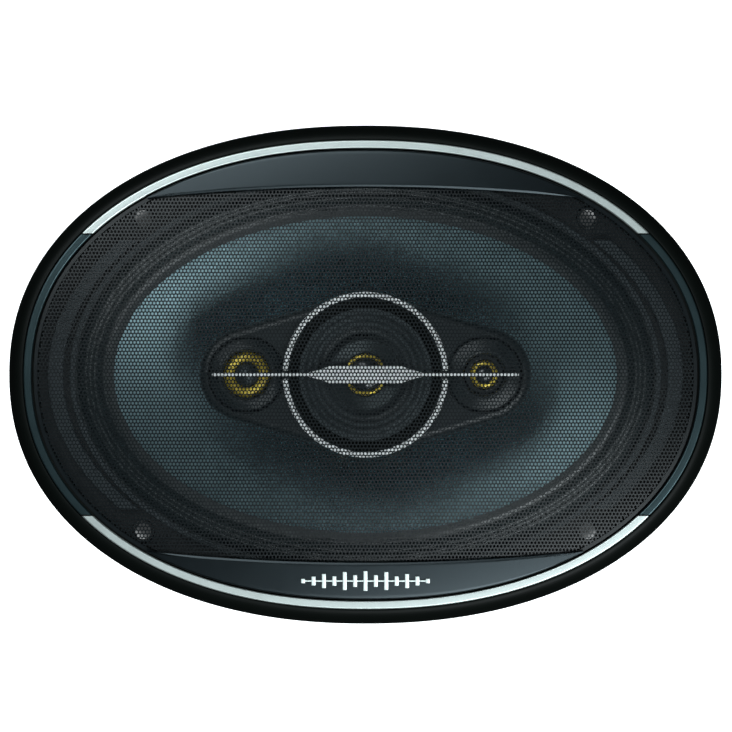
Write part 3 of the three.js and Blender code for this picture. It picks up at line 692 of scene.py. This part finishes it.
sheet = sheet_points()
strand_quads, strand_triangles = sheet_strands()
quad_faces = faces_of(strand_quads)
triangle_faces = faces_of(strand_triangles)
owner_x = sheet[:, :, 0].mean(axis=1)
split = 36.0
for name, keep in (("left_mesh", owner_x < -split), ("middle_mesh", np.abs(owner_x) <= split),
                   ("right_mesh", owner_x > split)):
    part = mesh_piece(name, sheet.reshape(-1, 3), quad_faces, triangle_faces, keep)
    fit(part, powder_coat, "grille_mesh", weighted=False)
    print(name, "triangles:", sum(len(p.vertices) - 2 for p in part.data.polygons))

# %% The sheet's plain margin at each end
for side in ("left", "right"):
    rim = [(1.2, 0.85), (0.0, 0.85), (0.0, 0.0), (1.2, 0.0)]
    section = [(MESH_EDGE[0] + 0.1 - inset, MESH_EDGE[1] + 0.1 - inset,
                MESH_EDGE[2] + lift + 0.14 * inset, OVAL_POWER) for inset, lift in rim]
    fit(band(f"mesh_margin_{side}", section, side, 62.5, 160), powder_coat, "grille_mesh")

# %% [markdown]
# ## The basket
# The basket is one steel pressing: a pan that bolts to the top plate, a ledge for the spider, an oval
# bowl with six windows, and the flange with its four screw holes. The section is swept round, and the
# windows and holes are then punched with boolean cuts, as a press would.

# %% Basket shell
PANEL_Z = 84.0
STEEL = 1.2
outside = [(24, 24, 31.3, 2), (46.4, 46.4, 31.3, 2), (48.5, 48.5, 42.6, 2), (58, 57, 42.9, 2),
           (66, 59.6, 50.5, 2), (73.5, 61.8, 56.5, 2), (80, 63.5, 62, 2), (91.5, 66.4, 72.6, 2),
           (101.5, 69, 82.6, 2), (103.4, 70.7, PANEL_Z, 2), (118, 81.5, PANEL_Z, OVAL_POWER)]
inside = [(118, 81.5, PANEL_Z + STEEL, OVAL_POWER), (102.3, 69.6, PANEL_Z + STEEL, 2),
          (100.3, 67.8, 83.6, 2), (90.4, 65.2, 73.7, 2), (79, 62.4, 63, 2), (72.4, 60.6, 57.5, 2),
          (65, 58.5, 51.6, 2), (57.2, 56.2, 44.1, 2), (47.2, 47.2, 43.8, 2), (45.2, 45.2, 32.5, 2),
          (24, 24, 32.5, 2)]
basket = band("pressed_basket", eased(outside + inside, 1.4, steps=5), segments=240)


def window(heading, half, low=49.0, high=79.0, corner=6.0):
    """A cutter with rounded corners that points outwards at that heading."""
    arc = np.linspace(0, math.pi / 2, 7)
    outline = []
    for k, (cx, cz) in enumerate(((half - corner, high - corner), (-half + corner, high - corner),
                                  (-half + corner, low + corner), (half - corner, low + corner))):
        turn = arc + k * math.pi / 2
        outline += [(cx + corner * math.cos(t), cz + corner * math.sin(t)) for t in turn]
    cutter = prism("window", outline, 40, 130)
    # The outline's first axis becomes across, its second becomes up, and its depth points outwards.
    stand = Matrix(((0, 0, 1, 0), (1, 0, 0, 0), (0, 1, 0, 0), (0, 0, 0, 1)))
    cutter.data.transform(Matrix.Rotation(math.radians(heading), 4, "Z") @ stand)
    return cutter


WINDOW_HALVES = {0: 29, 56: 19, 124: 19, 180: 29, 236: 19, 304: 19}  # half widths by heading
cutters = [window(heading, half) for heading, half in WINDOW_HALVES.items()]
combined(basket, "DIFFERENCE", *cutters)
print("basket faces after the windows:", len(basket.data.polygons))

# %% Screw holes with raised rims
BOLT = (77.5, 54.6)
corners = [(sx * BOLT[0], sy * BOLT[1]) for sx in (1, -1) for sy in (1, -1)]
for x, y in corners:
    hole = turned("hole", [(0, 82), (2.75, 82), (2.75, 87), (0, 87)], ease=0, segments=48, steps=2)
    hole.data.transform(Matrix.Translation((x * MM, y * MM, 0)))
    combined(basket, "DIFFERENCE", hole)
rims = []
for x, y in corners:
    rim = turned("rim", [(2.8, 85.15), (4.2, 85.15), (3.9, 85.9), (3.0, 85.9)], ease=0.2, segments=48)
    rim.data.transform(Matrix.Translation((x * MM, y * MM, 0)))
    rims.append(rim)
fit(merged("basket_pressing", basket, *rims), painted_steel, "basket")

# %% [markdown]
# ## The motor
# Under the basket sits the motor: a ferrite ring between a top plate and a yoke, whose pole runs up
# through the voice coil. All three are turned about the axis, with small chamfers that a lathe or a
# grinding wheel would leave.

# %% Yoke, magnet and top plate
yoke_profile = [(4.4, 4.2), (10, 4.2), (10, 0.6), (10.6, 0), (44.6, 0), (46, 1.4), (46, 6.7),
                (17.5, 6.7), (17.5, 31.5), (16.5, 32.5), (4.4, 32.5)]
fit(turned("turned_yoke", yoke_profile, segments=160), zinc_plate, "yoke")
magnet_profile = [(26, 7), (49.2, 7), (50, 7.8), (50, 23.9), (49.2, 24.7), (26, 24.7)]
fit(turned("ferrite_ring", magnet_profile, segments=160), ferrite, "magnet")
plate_profile = [(20.4, 25), (45.3, 25), (46, 25.7), (46, 30.3), (45.3, 31), (20.4, 31)]
fit(turned("turned_top_plate", plate_profile, segments=160), zinc_plate, "top_plate")

# %% Hexagon nut on the post's stud
hexagon = [(6.4 * math.cos(k * math.pi / 3), 6.4 * math.sin(k * math.pi / 3)) for k in range(6)]
nut = prism("hexagon_nut", hexagon, 1.0, 3.9)
chamfer = turned("chamfer", [(0, 0.5), (5.5, 0.5), (6.9, 2.1), (6.9, 3.6), (6.2, 4.4), (0, 4.4)],
                 ease=0, segments=72, steps=2)
combined(nut, "INTERSECT", chamfer)
combined(nut, "DIFFERENCE", turned("thread", [(0, 0), (3.3, 0), (3.3, 5), (0, 5)], ease=0,
                                   segments=40, steps=2))
fit(nut, zinc_plate, "post_nut")

# %% [markdown]
# ## The woofer's cone and its roll surround
# The cone grows from a round neck to an elliptical edge: it is steep at the neck, then nearly
# straight, and its satin face turns that slope into one broad band of light. The surround is a
# rubber ring with two rolls and a flat rim that is clamped to the flange. Its rolls stay the same
# distance from the cone all the way round, so they are laid off along the ellipse's normal.

# %% Cone
CONE_EDGE = (89.6, 57.1, 86.0)
CONE_NECK = (18.7, 47.5)


def cone_rise(share, bend=0.3, curve=1.45, edge_slope=0.8):
    """Rise from the neck to the edge: a curve up to the bend, then a nearly straight cubic."""
    if share <= bend:
        return 1 - (1 - share) ** curve
    run = 1 - bend
    start, slope = 1 - run ** curve, curve * run ** (curve - 1)
    u = (share - bend) / run
    eased_in = start * (2 * u ** 3 - 3 * u ** 2 + 1) + run * slope * (u ** 3 - 2 * u ** 2 + u)
    return eased_in + 3 * u ** 2 - 2 * u ** 3 + run * edge_slope * (u ** 3 - u ** 2)


def cone_ring(share, drop, count=240):
    """One ring of the cone, a share of the way from the neck to the edge."""
    t = np.linspace(0, 2 * math.pi, count, endpoint=False)
    a, b = (CONE_NECK[0] + (edge - CONE_NECK[0]) * share for edge in CONE_EDGE[:2])
    z = CONE_NECK[1] + (CONE_EDGE[2] - CONE_NECK[1]) * cone_rise(share)
    return np.stack([a * np.cos(t), b * np.sin(t), np.full(count, z - drop)], axis=-1)


def collar_ring(radius, z, count=240):
    """One round ring of the neck's collar."""
    t = np.linspace(0, 2 * math.pi, count, endpoint=False)
    return np.stack([radius * np.cos(t), radius * np.sin(t), np.full(count, z)], axis=-1)


shares = np.linspace(0, 1, 28)
cone_rows = [cone_ring(s, 0) for s in shares] + [cone_ring(s, 0.8) for s in shares[:0:-1]]
cone_rows += [collar_ring(19.7, 46.9), collar_ring(19.7, 43.5), collar_ring(18.7, 43.5)]
fit(lofted("moulded_cone", cone_rows), mica_cone, "woofer_cone")


# %% Surround
def off_cone_edge(out, z, count=320):
    """A ring at a constant distance outside the cone's edge."""
    a, b = CONE_EDGE[:2]
    t = np.linspace(0, 2 * math.pi, count, endpoint=False)
    normal = np.stack([b * np.cos(t), a * np.sin(t)], axis=-1)
    normal /= np.linalg.norm(normal, axis=1, keepdims=True)
    edge = np.stack([a * np.cos(t), b * np.sin(t)], axis=-1)
    return np.column_stack([edge + out * normal, np.full(count, z)])


def smooth_through(points, count):
    """Points on a smooth curve through the given ones (Catmull-Rom)."""
    p = np.asarray(points, float)
    p = np.vstack([2 * p[0] - p[1], p, 2 * p[-1] - p[-2]])
    at = np.linspace(0, len(points) - 1 - 1e-9, count)
    k = at.astype(int)
    u = (at - k)[:, None]
    a, b, c, d = p[k], p[k + 1], p[k + 2], p[k + 3]
    return 0.5 * (2 * b + (c - a) * u + (2 * a - 5 * b + 4 * c - d) * u ** 2
                  + (3 * b - a - 3 * c + d) * u ** 3)


ROLLS = [(-2.0, 87.0), (0.2, 87.0), (1.7, 86.7), (3.0, 88.0), (4.6, 89.4), (6.2, 88.5), (7.8, 89.4),
         (9.4, 88.0), (10.6, 86.3), (11.6, 86.1), (13.4, 86.1)]
front = smooth_through(ROLLS, 64)
back = front[::-1] - np.array([0, 0.6])
surround_rows = [off_cone_edge(out, z) for out, z in np.vstack([front, back])]
surround = lofted("double_roll_surround", surround_rows)
fit(surround, butyl_rubber, "surround", ride=False)


# %% Bake rubber and cloth in place and weigh their points against the cone
def bends_with_cone(piece, share_fixed):
    """Bakes the piece's placement into its mesh and weighs its points with share_fixed, which gives
    0 where a point would stay still and 1 where it would move all the way. The weights are left unused,
    so the piece stays where it is."""
    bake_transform(piece)
    points = np.array([v.co for v in piece.data.vertices]) / MM
    weight = np.clip(share_fixed(points), 0, 1)
    weight = weight * weight * (3 - 2 * weight)


def share_of_surround(points):
    """How far a point is from the rim, judged by its scale against the cone's edge."""
    a, b = CONE_EDGE[:2]
    scale = np.hypot(points[:, 0] / a, points[:, 1] / b)
    gradient = np.hypot(points[:, 0] / a ** 2, points[:, 1] / b ** 2) / np.maximum(scale, 1e-6)
    out = (scale - 1) / gradient
    return 1 - (out - 1.0) / 9.5


bends_with_cone(surround, share_of_surround)

# %% [markdown]
# ## The spider
# The spider is the yellow corrugated cloth behind the cone that keeps the coil centred. Its waves are
# a sine turned round the axis, with a flat foot outside on the basket's ledge.

# %% Spider
def spider_height(r):
    """Height of the cloth at radius r: flat at both ends, waves between."""
    waves = np.sin((r - 24.5) / 4.5 * math.pi) * 1.35
    fade = np.clip(np.minimum((r - 23) / 4, (47.5 - r) / 4), 0, 1)
    return 45.2 + waves * fade


radii = np.linspace(20.1, 54, 90)
cloth = [(r, spider_height(r)) for r in radii] + [(r, spider_height(r) - 0.7) for r in radii[::-1]]
spider = turned("corrugated_spider", cloth, ease=0, steps=2, segments=160)
fit(spider, dipped_cotton, "spider", ride=False)
bends_with_cone(spider,
                lambda p: 1 - (np.hypot(p[:, 0], p[:, 1]) - 20.5) / 27)

# %% [markdown]
# ## Rim, foam and leads
# The rubber's rim is held by a ring of dense board, and two foam strips on the ends of the flange
# seal against the grille. The leads are braided tinsel, loose enough to follow the cone.

# %% Clamp ring and foam strips
clamp = [(11.4, 86.5), (13.4, 86.5), (13.4, 88.7), (13.0, 89.0), (11.8, 89.0), (11.4, 88.7)]
clamp_ring = lofted("clamp_ring", [off_cone_edge(out, z) for out, z in eased(clamp, 0.3)])
fit(clamp_ring, gasket_foam, "surround_clamp_ring")
strip = [(105.3, 70.6, 85.5, 2), (110.6, 73.6, 85.5, 2), (110.6, 73.6, 89.1, 2), (105.3, 70.6, 89.1, 2)]
for side in ("left", "right"):
    foam = band(f"{side}_foam_strip", eased(strip, 0.5), side, 46.9, 120)
    fit(foam, gasket_foam, f"gasket_{side}")


# %% A wire along a route
def along(name, route, radius, sides=12, per_span=8, twist=0.0):
    """A round wire through the points of a route, with closed ends."""
    line = smooth_through(route, per_span * (len(route) - 1) + 1)
    ahead = np.gradient(line, axis=0)
    ahead /= np.linalg.norm(ahead, axis=1, keepdims=True)
    across = np.cross(ahead, (0.3, 0.2, 0.93))
    across /= np.linalg.norm(across, axis=1, keepdims=True)
    third = np.cross(ahead, across)
    angle = np.linspace(0, 2 * math.pi, sides, endpoint=False)
    rows = []
    for i, centre in enumerate(line):
        turn = angle + twist * i
        wobble = radius * (1 + (0.08 if twist else 0) * np.cos(3 * angle))
        rows.append(centre + (wobble * np.cos(turn))[:, None] * across[i]
                    + (wobble * np.sin(turn))[:, None] * third[i])
    faces = sheet_faces(len(rows), sides, False, True)
    last = (len(rows) - 1) * sides
    faces += [list(range(sides))[::-1], list(range(last, last + sides))]
    return tidy_mesh(name, np.vstack(rows), faces, sharp=60)


# %% Flexible leads
TINSEL_ROUTE = [(14.3, -69.1, 71.8), (19.5, -67.6, 71.8), (24.8, -62.8, 68), (24.8, -56, 61.5),
                (21, -46, 55), (14.5, -35, 53), (9.8, -29, 55)]
POD_ROUTE = [(7.5, -23.4, 60.3), (7.2, -21.3, 63.3), (6.7, -18.8, 65.7), (6.1, -16.6, 67.3),
             (5.5, -15, 69)]
for side, word in ((1, "positive"), (-1, "negative")):
    route = [(side * x, y, z) for x, y, z in TINSEL_ROUTE]
    lead = along(f"tinsel_{word}", route, 0.72, per_span=14, twist=0.35)
    fit(lead, tinsel_braid, f"tinsel_lead_{word}", weighted=False, ride=False)
    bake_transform(lead)
    route = [(side * x, y, z) for x, y, z in POD_ROUTE]
    lead = along(f"pod_wire_{word}", route, 0.55, per_span=14, twist=0.35)
    fit(lead, tinsel_braid, f"pod_lead_{word}", weighted=False, ride=False)
    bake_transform(lead)
    eyelet = turned(f"eyelet_{word}", [(0, 0.5), (1.6, 0.5), (1.6, 0.8), (1.0, 1.3), (0, 1.35)],
                    segments=32)
    lean = Matrix.Rotation(math.radians(side * 17), 4, "Z") @ Matrix.Rotation(math.radians(-52), 4, "X")
    eyelet.data.transform(Matrix.Translation((side * 8 * MM, -25.6 * MM, 58.3 * MM)) @ lean)
    fit(eyelet, tinned_brass, f"cone_eyelet_{word}")

# %% [markdown]
# ## Terminals
# A phenolic board is riveted to one leg of the basket. It carries a wide and a narrow blade, so that
# the plug can't go on the wrong way round, and a capacitor that keeps bass out of the pod.

# %% Terminal board, blades and rivets
BOARD_PLACE = Matrix.Translation((0, -64.5 * MM, 63 * MM)) @ Matrix.Rotation(math.radians(15), 4, "X")
BOARD_THICK = 1.6
RIVET_Z = 4.0


def on_board(piece):
    """Moves a piece that is made flat, X across and Z up, on to the basket's leg."""
    piece.data.transform(BOARD_PLACE)
    return piece


def across_y(piece, x=0.0, z=0.0):
    """Turns a piece made about Z to lie along -Y, then moves it."""
    lay = Matrix.Rotation(math.radians(90), 4, "X")
    piece.data.transform(Matrix.Translation((x * MM, 0, z * MM)) @ lay)
    return piece


board = box("board", (-20, -BOARD_THICK, -7), (20, 0, 7), 0.3)
for x in (-5, 5):
    hole = turned("hole", [(0, -3), (1.3, -3), (1.3, 5), (0, 5)], ease=0, segments=32, steps=2)
    combined(board, "DIFFERENCE", across_y(hole, x, RIVET_Z))
fit(on_board(board), phenolic, "terminal_board")
for x, name in ((-5, "terminal_rivet_1"), (5, "terminal_rivet_2")):
    head = [(0, 0), (1, 0), (1, 1.9), (2.1, 1.9), (2.0, 2.4), (1.2, 2.8), (0.5, 2.65), (0, 2.6)]
    rivet = turned(f"{name}_head", head, ease=0.15, segments=40)
    fit(on_board(across_y(rivet, x, RIVET_Z)), tinned_brass, name)

# %% Blades and capacitor
for x, width, word in ((14, 6.3, "positive"), (-14, 4.8, "negative")):
    face = -BOARD_THICK - 0.3
    h = width / 2
    outline = [(-h, 5), (-h, -16.8), (-h + 1.0, -18), (h - 1.0, -18), (h, -16.8), (h, 5), (1.2, 5.4),
               (1.2, 8), (-1.2, 8), (-1.2, 5.4)]
    blade = prism("blade", [(x + px, pz) for px, pz in outline], -face, -face + 0.8)
    across_y(blade)
    hole = turned("hole", [(0, 0), (0.9, 0), (0.9, 4), (0, 4)], ease=0, segments=24, steps=2)
    combined(blade, "DIFFERENCE", across_y(hole, x, -13.5))
    blade.name = f"blade_{word}"
    fit(on_board(with_bevel(blade, 0.12)), tinned_brass, f"terminal_{word}")
can = [(0, -6.9), (2.7, -6.9), (2.8, -7.0), (3.2, -7.0), (3.4, -6.7), (3.4, -5.6), (3.15, -5.1),
       (3.4, -4.6), (3.4, 6.6), (3.1, 7.0), (0, 7.0)]
capacitor = turned("film_sleeved_capacitor", can, ease=0.2, segments=64)
lay_across = Matrix.Rotation(math.pi / 2, 4, "Y")
capacitor.data.transform(Matrix.Translation((0, -5.3 * MM, -3.2 * MM)) @ lay_across)
fit(on_board(capacitor), sleeve_film, "crossover_capacitor")

# %% [markdown]
# ## The pod
# The pod is one moulding on the centre post: a round hub with a lobe on each side, sloping walls and
# a flat rim. The hub is bored for the midrange and each lobe has a pocket for a tweeter.

# %% Pod moulding
POD_HUB, POD_LOBE, POD_REACH = 28.2, 16.6, 41.2
POD_TOP, POD_FLOOR = 99.0, 89.0


def pod_outline(inset=0.0):
    """The outline of hub and lobes: arcs joined by straight tangents."""
    hub, lobe = POD_HUB - inset, POD_LOBE - inset
    lean = math.asin((hub - lobe) / POD_REACH)
    quarter = math.pi / 2
    arcs = [(POD_REACH, lobe, lean - quarter, quarter - lean, 40),
            (0, hub, quarter - lean, quarter + lean, 14),
            (-POD_REACH, lobe, quarter + lean, 3 * quarter - lean, 40),
            (0, hub, 3 * quarter - lean, 3 * quarter + lean, 14)]
    outline = []
    for centre, radius, start, end, steps in arcs:
        for t in np.linspace(start, end, steps, endpoint=False):
            outline.append((centre + radius * math.cos(t), radius * math.sin(t)))
    return outline


shoulder_drop = [(0, POD_TOP - 3.4), (0.35, POD_TOP - 1.9), (1.1, POD_TOP - 0.8), (2.1, POD_TOP - 0.2)]
levels = eased([(3.2, POD_FLOOR), (0, POD_FLOOR + 3)] + shoulder_drop + [(3.1, POD_TOP)], 0.5,
               closed=False)
ring_rows = [[(x, y, z) for x, y in pod_outline(max(inset, 0))] for inset, z in levels]
faces = sheet_faces(len(ring_rows), len(ring_rows[0]), False, True)
count = len(ring_rows[0])
last = (len(ring_rows) - 1) * count
faces += [list(range(count))[::-1], list(range(last, last + count))]
pod = tidy_mesh("pod_moulding", np.array(ring_rows).reshape(-1, 3), faces)
cup = turned("cup", [(0, 65.6), (11, 65.6), (13, 68), (24, 78), (28.0, 81), (28.2, 84), (28.2, 99.7),
                     (27.6, 100.3), (0, 100.3)], ease=0.8, segments=160)
combined(pod, "UNION", cup)
combined(pod, "DIFFERENCE", turned("bore", [(0, 80), (26.6, 80), (26.6, 105), (0, 105)], ease=0,
                                   segments=160, steps=2))
for side in (-1, 1):
    pocket = turned("pocket", [(0, 90.6), (13.1, 90.6), (13.1, 98.3), (13.7, 99.2), (13.7, 103), (0, 103)],
                    centre=side * POD_REACH, ease=0, segments=96, steps=2)
    combined(pod, "DIFFERENCE", pocket)
fit(pod, pod_abs, "pod_housing")

# %% [markdown]
# ## Silver on the pod
# A silver ring in two halves sits on the hub's rim, and a thin silver bar crosses the pod from lobe
# to lobe, swelling into a pointed plate in the middle.

# %% Ring halves and the bar
# The ring and the bar wear the near-white silver, whose shine is painted in as colour, not reflected.
ring_section = eased([(26.8, 100.6), (28.7, 100.6), (28.7, 101.7), (28.5, 101.95), (27.75, 102.12),
                      (27.0, 101.95), (26.8, 101.7)], 0.15)
for side, word in (("top", "upper"), ("bottom", "lower")):
    half = band(f"silver_ring_{word}", [(r, r, z, 2) for r, z in ring_section], side, 1.5, 200)
    fit(half, silver_with_painted_shine, f"ring_trim_{word}")
tip = [(12.0, -3.2)] + [(12.0 + 9.6 * s, -0.62 - 2.58 * (1 - s) ** 1.6) for s in np.linspace(0.12, 1, 9)]
tip += [(x, -y) for x, y in tip[::-1]]
spear = prism("spear_plate", tip + [(-x, -y) for x, y in tip], 100.4, 101.9, ease=0.3)
beam = box("beam", (-53.2, -0.6, 100.7), (53.2, 0.6, 101.85), 0.25)
feet = [box("foot", (x - 0.95, -0.6, 99.35), (x + 0.95, 0.6, 101), 0.2) for x in (-52.25, 52.25)]
fit(merged("silver_bar", spear, beam, *feet), silver_with_painted_shine, "spear_trim")

# %% [markdown]
# ## The midrange
# In the hub sits a small cone driver: a frame pressed into the bore, a paper cone with a single
# half-roll, and a dish in the middle that belongs to the centre tweeter.

# %% Midrange frame, cone and surround
mid_frame = [(26.3, 98.4), (26.3, 100.3), (25.6, 100.3), (23.3, 98.6), (23.3, 97.6), (21.4, 97.6),
             (21.4, 96.8), (14.4, 89.9), (14.4, 88.6), (15.4, 88.6), (24.4, 96.4)]
fit(turned("midrange_frame", mid_frame, ease=0.25), moulded_abs, "mid_frame")
ripple = [(r, 91.8 + (r - 7.8) * 0.53 + 0.12 * math.cos((r - 7.8) * 2.6))
          for r in np.linspace(7.8, 17.4, 40)]
mid_cone = [(7.0, 91.8)] + ripple + [(r - 0.35, z + 0.5) for r, z in ripple[::-1]]
fit(turned("midrange_cone", mid_cone, ease=0, steps=2), coated_paper, "mid_cone")
roll = smooth_through([(17, 98.4), (18.1, 98.5), (19.0, 99.3), (19.8, 99.6), (20.6, 99.2), (21.4, 98.5),
                       (23, 98.4)], 36)
mid_surround = np.vstack([roll, roll[::-1] - (0, 0.5)])
mid_ring = turned("midrange_surround", mid_surround, ease=0, steps=2)
fit(mid_ring, mid_rubber, "mid_surround", ride=False)
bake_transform(mid_ring)

# %% [markdown]
# ## The tweeters
# Three small tweeters share the amber film: one on the midrange's axis, one in each lobe. The left one
# is a ring radiator round a pointed plug, the right one a small dome behind a guard ring.

# %% Centre tweeter
horn = [(0, 89.8), (4.6, 89.8), (4.6, 95.2), (8.4, 97.2), (12.4, 98.7), (12.4, 99.7), (11.9, 99.75),
        (7.6, 98.2), (7.6, 97), (0, 97)]
fit(turned("centre_dish", horn, ease=0.25), grey_dish, "centre_tweeter_horn")
fit(turned("centre_film", [(5.9, 98.1), (7.25, 98.1), (7.25, 98.5), (6.6, 99), (5.9, 98.5)], ease=0.3),
    amber_film, "centre_tweeter_diaphragm")
fit(turned("centre_plug", [(0, 97.4), (5.5, 97.4), (5.5, 98.4), (3.6, 99.4), (0, 99.7)], ease=0.8),
    gloss_plug, "centre_tweeter_plug")

# %% Side tweeters
for side, word, opening in ((-1, "left", 8.4), (1, "right", 7.2)):
    dish = [(opening, 94.4), (12.8, 94.4), (12.8, 97.3), (opening + 1.4, 98.8), (opening + 0.5, 98.7),
            (opening, 98)]
    fit(turned(f"{word}_dish", dish, side * POD_REACH, ease=0.5), pod_abs, f"{word}_tweeter_dish")
fit(turned("left_film", [(4.3, 95), (8, 95), (8, 95.5), (6.2, 96.7), (4.3, 95.7)], -POD_REACH, ease=0.7),
    amber_film, "left_tweeter_diaphragm")
fit(turned("left_plug", [(0, 93.8), (4, 93.8), (4, 96.3), (2.2, 97.3), (1.4, 97.6), (0, 98.1)],
           -POD_REACH, ease=0.5), grey_dish, "left_tweeter_plug")
fit(turned("right_film", [(3.2, 94.7), (4.9, 94.7), (4.9, 95.3), (4.3, 96.1), (3.2, 96.3)], POD_REACH,
           ease=0.3), amber_film, "right_tweeter_diaphragm")
fit(turned("right_dome", [(0, 94.7), (3.25, 94.7), (3.25, 95.9), (2.4, 96.7), (1.2, 97.1), (0, 97.2)],
           POD_REACH, ease=0.5), gloss_plug, "right_tweeter_diaphragm")
fit(turned("right_guard", [(5.3, 94.7), (6.8, 94.7), (6.8, 95.7), (5.3, 95.7)], POD_REACH), gloss_plug,
    "right_tweeter_guard")

# %% [markdown]
# ## Parts that stay as the frame gives them
# The parts sealed inside keep their measured shape and only get their finish.

# %% Finishes for the inner parts
inner = {
    "centre_post": pod_abs, "voice_coil_former": rolled_foil, "voice_coil_winding": copper_wire,
    "mid_yoke": zinc_plate, "mid_magnet": ferrite, "mid_top_plate": zinc_plate,
    "mid_voice_coil": copper_wire, "left_tweeter_magnet": ferrite, "right_tweeter_magnet": ferrite,
}
for name, material in inner.items():
    mesh = frame["nodes"][name].data
    mesh.materials.clear()
    mesh.materials.append(material)
print("parts kept from the frame:", len(inner))

# %% [markdown]
# ## Floor and light
# A pale floor curves up all round into a pale backdrop, as in a small studio. It glows by itself and
# is left out of reflections and bounced light, so it stays even and doesn't wash out the black
# plastics. Under the speaker a painted shadow lies on it: its glow and its colour both fade to near
# black there, where the real floor would lie in shadow, and so the screw holes stay dark. Two large
# soft lamps stand at the upper left and the lower right of the view, which puts a sheen on those
# sides, and a weak one overhead lifts the faces that lie flat.

# %% Floor and backdrop
cove = [(0.0, 0.0), (3.5, 0.0), (4.6, 0.3), (5.4, 1.1), (5.8, 2.2), (5.9, 6.0)]
curve = smooth_through(cove, 60)
turn = np.linspace(0, 2 * math.pi, 96, endpoint=False)
rows = [np.stack([r * np.cos(turn), r * np.sin(turn), np.full(96, z)], axis=-1) for r, z in curve * 1000]
floor = lofted("pale_floor", np.array(rows) - (0, 0, 0.05), ring_section=False)
floor_paint = finish("matt_white_card", "#f4f5f5", 0.9, grain=3.0, depth=0.01, shift=0.004)
tree, shader, mm, tint, _ = parts_of(floor_paint)
# Painted shadow: inside an oval of 116 by 79 mm under the speaker, the glow and the floor's colour fall to
# near black. They rise back to full just past the bezel.
oval_share = node(tree, "ShaderNodeVectorMath", {"operation": "MULTIPLY"}, Vector=mm)
oval_share.inputs[1].default_value = (1 / 116, 1 / 79, 0)
reach = node(tree, "ShaderNodeVectorMath", {"operation": "LENGTH"}, Vector=oval_share.outputs["Vector"])
glow_and_painted_shadow = node(tree, "ShaderNodeMapRange", {
    "interpolation_type": "SMOOTHSTEP", "From Min": 0.99, "From Max": 1.12, "To Min": 0.01, "To Max": 0.95,
}, Value=reach.outputs["Value"])
tree.links.new(glow_and_painted_shadow.outputs["Result"], shader.inputs["Emission Strength"])
shade = node(tree, "ShaderNodeMix", {"data_type": "RGBA", "blend_type": "MULTIPLY"})
shade.inputs[0].default_value = 1.0
tree.links.new(tint.outputs[2], shade.inputs[6])
tree.links.new(glow_and_painted_shadow.outputs["Result"], shade.inputs[7])
tree.links.new(shade.outputs[2], shader.inputs["Base Color"])
shader.inputs["Emission Color"].default_value = (1, 1, 1, 1)
floor.data.materials.append(floor_paint)
floor.visible_diffuse = False
floor.visible_glossy = False


# %% Lights
def lamp(name, place, aim, size, watts, colour):
    """A soft rectangular lamp that faces a point. Sizes and places are in metres."""
    light = bpy.data.lights.new(name, "AREA")
    light.shape = "RECTANGLE"
    light.size, light.size_y = size
    light.energy = watts
    light.color = linear(colour)[:3]
    made = bpy.data.objects.new(name, light)
    made.location = place
    made.rotation_euler = (Vector(aim) - Vector(place)).to_track_quat("-Z", "Y").to_euler()
    bpy.context.scene.collection.objects.link(made)
    return made


LAMP_WHITE = "#eef8fb"
target = (0, 0, 0.09)
lamp("upper_left_softbox", (-0.6, 0.9, 1.42), target, (1.2, 1.0), 36, LAMP_WHITE)
lamp("lower_right_softbox", (0.62, -0.95, 1.38), target, (1.2, 1.0), 60, LAMP_WHITE)
lamp("overhead_softbox", (0, 0.1, 2.5), target, (0.9, 0.9), 1.2, LAMP_WHITE)
world = bpy.data.worlds.new("studio_air")
world.use_nodes = True
air = world.node_tree.nodes["Background"]
air.inputs["Color"].default_value = linear("#dfeaf0")
air.inputs["Strength"].default_value = 0.04
bpy.context.scene.world = world

# %% [markdown]
# ## Camera
# The camera looks straight down from far off, so that the ring and the pod keep their true outlines.
# The lens is chosen so that the 248 mm bezel fills all but a narrow margin of the frame.

# %% Camera
FILM = 36.0
camera_height = 2.6
bezel_level = 0.088
view_width = 0.25492
camera_data = bpy.data.cameras.new("camera")
camera_data.sensor_width = FILM
camera_data.lens = FILM * (camera_height - bezel_level) / view_width
camera_data.clip_end = 20.0
camera = bpy.data.objects.new("camera", camera_data)
camera.location = (0.0002, 0.003, camera_height)
bpy.context.scene.collection.objects.link(camera)
bpy.context.scene.camera = camera
bpy.context.scene.view_settings.view_transform = "Standard"
print("lens:", round(camera_data.lens), "mm")
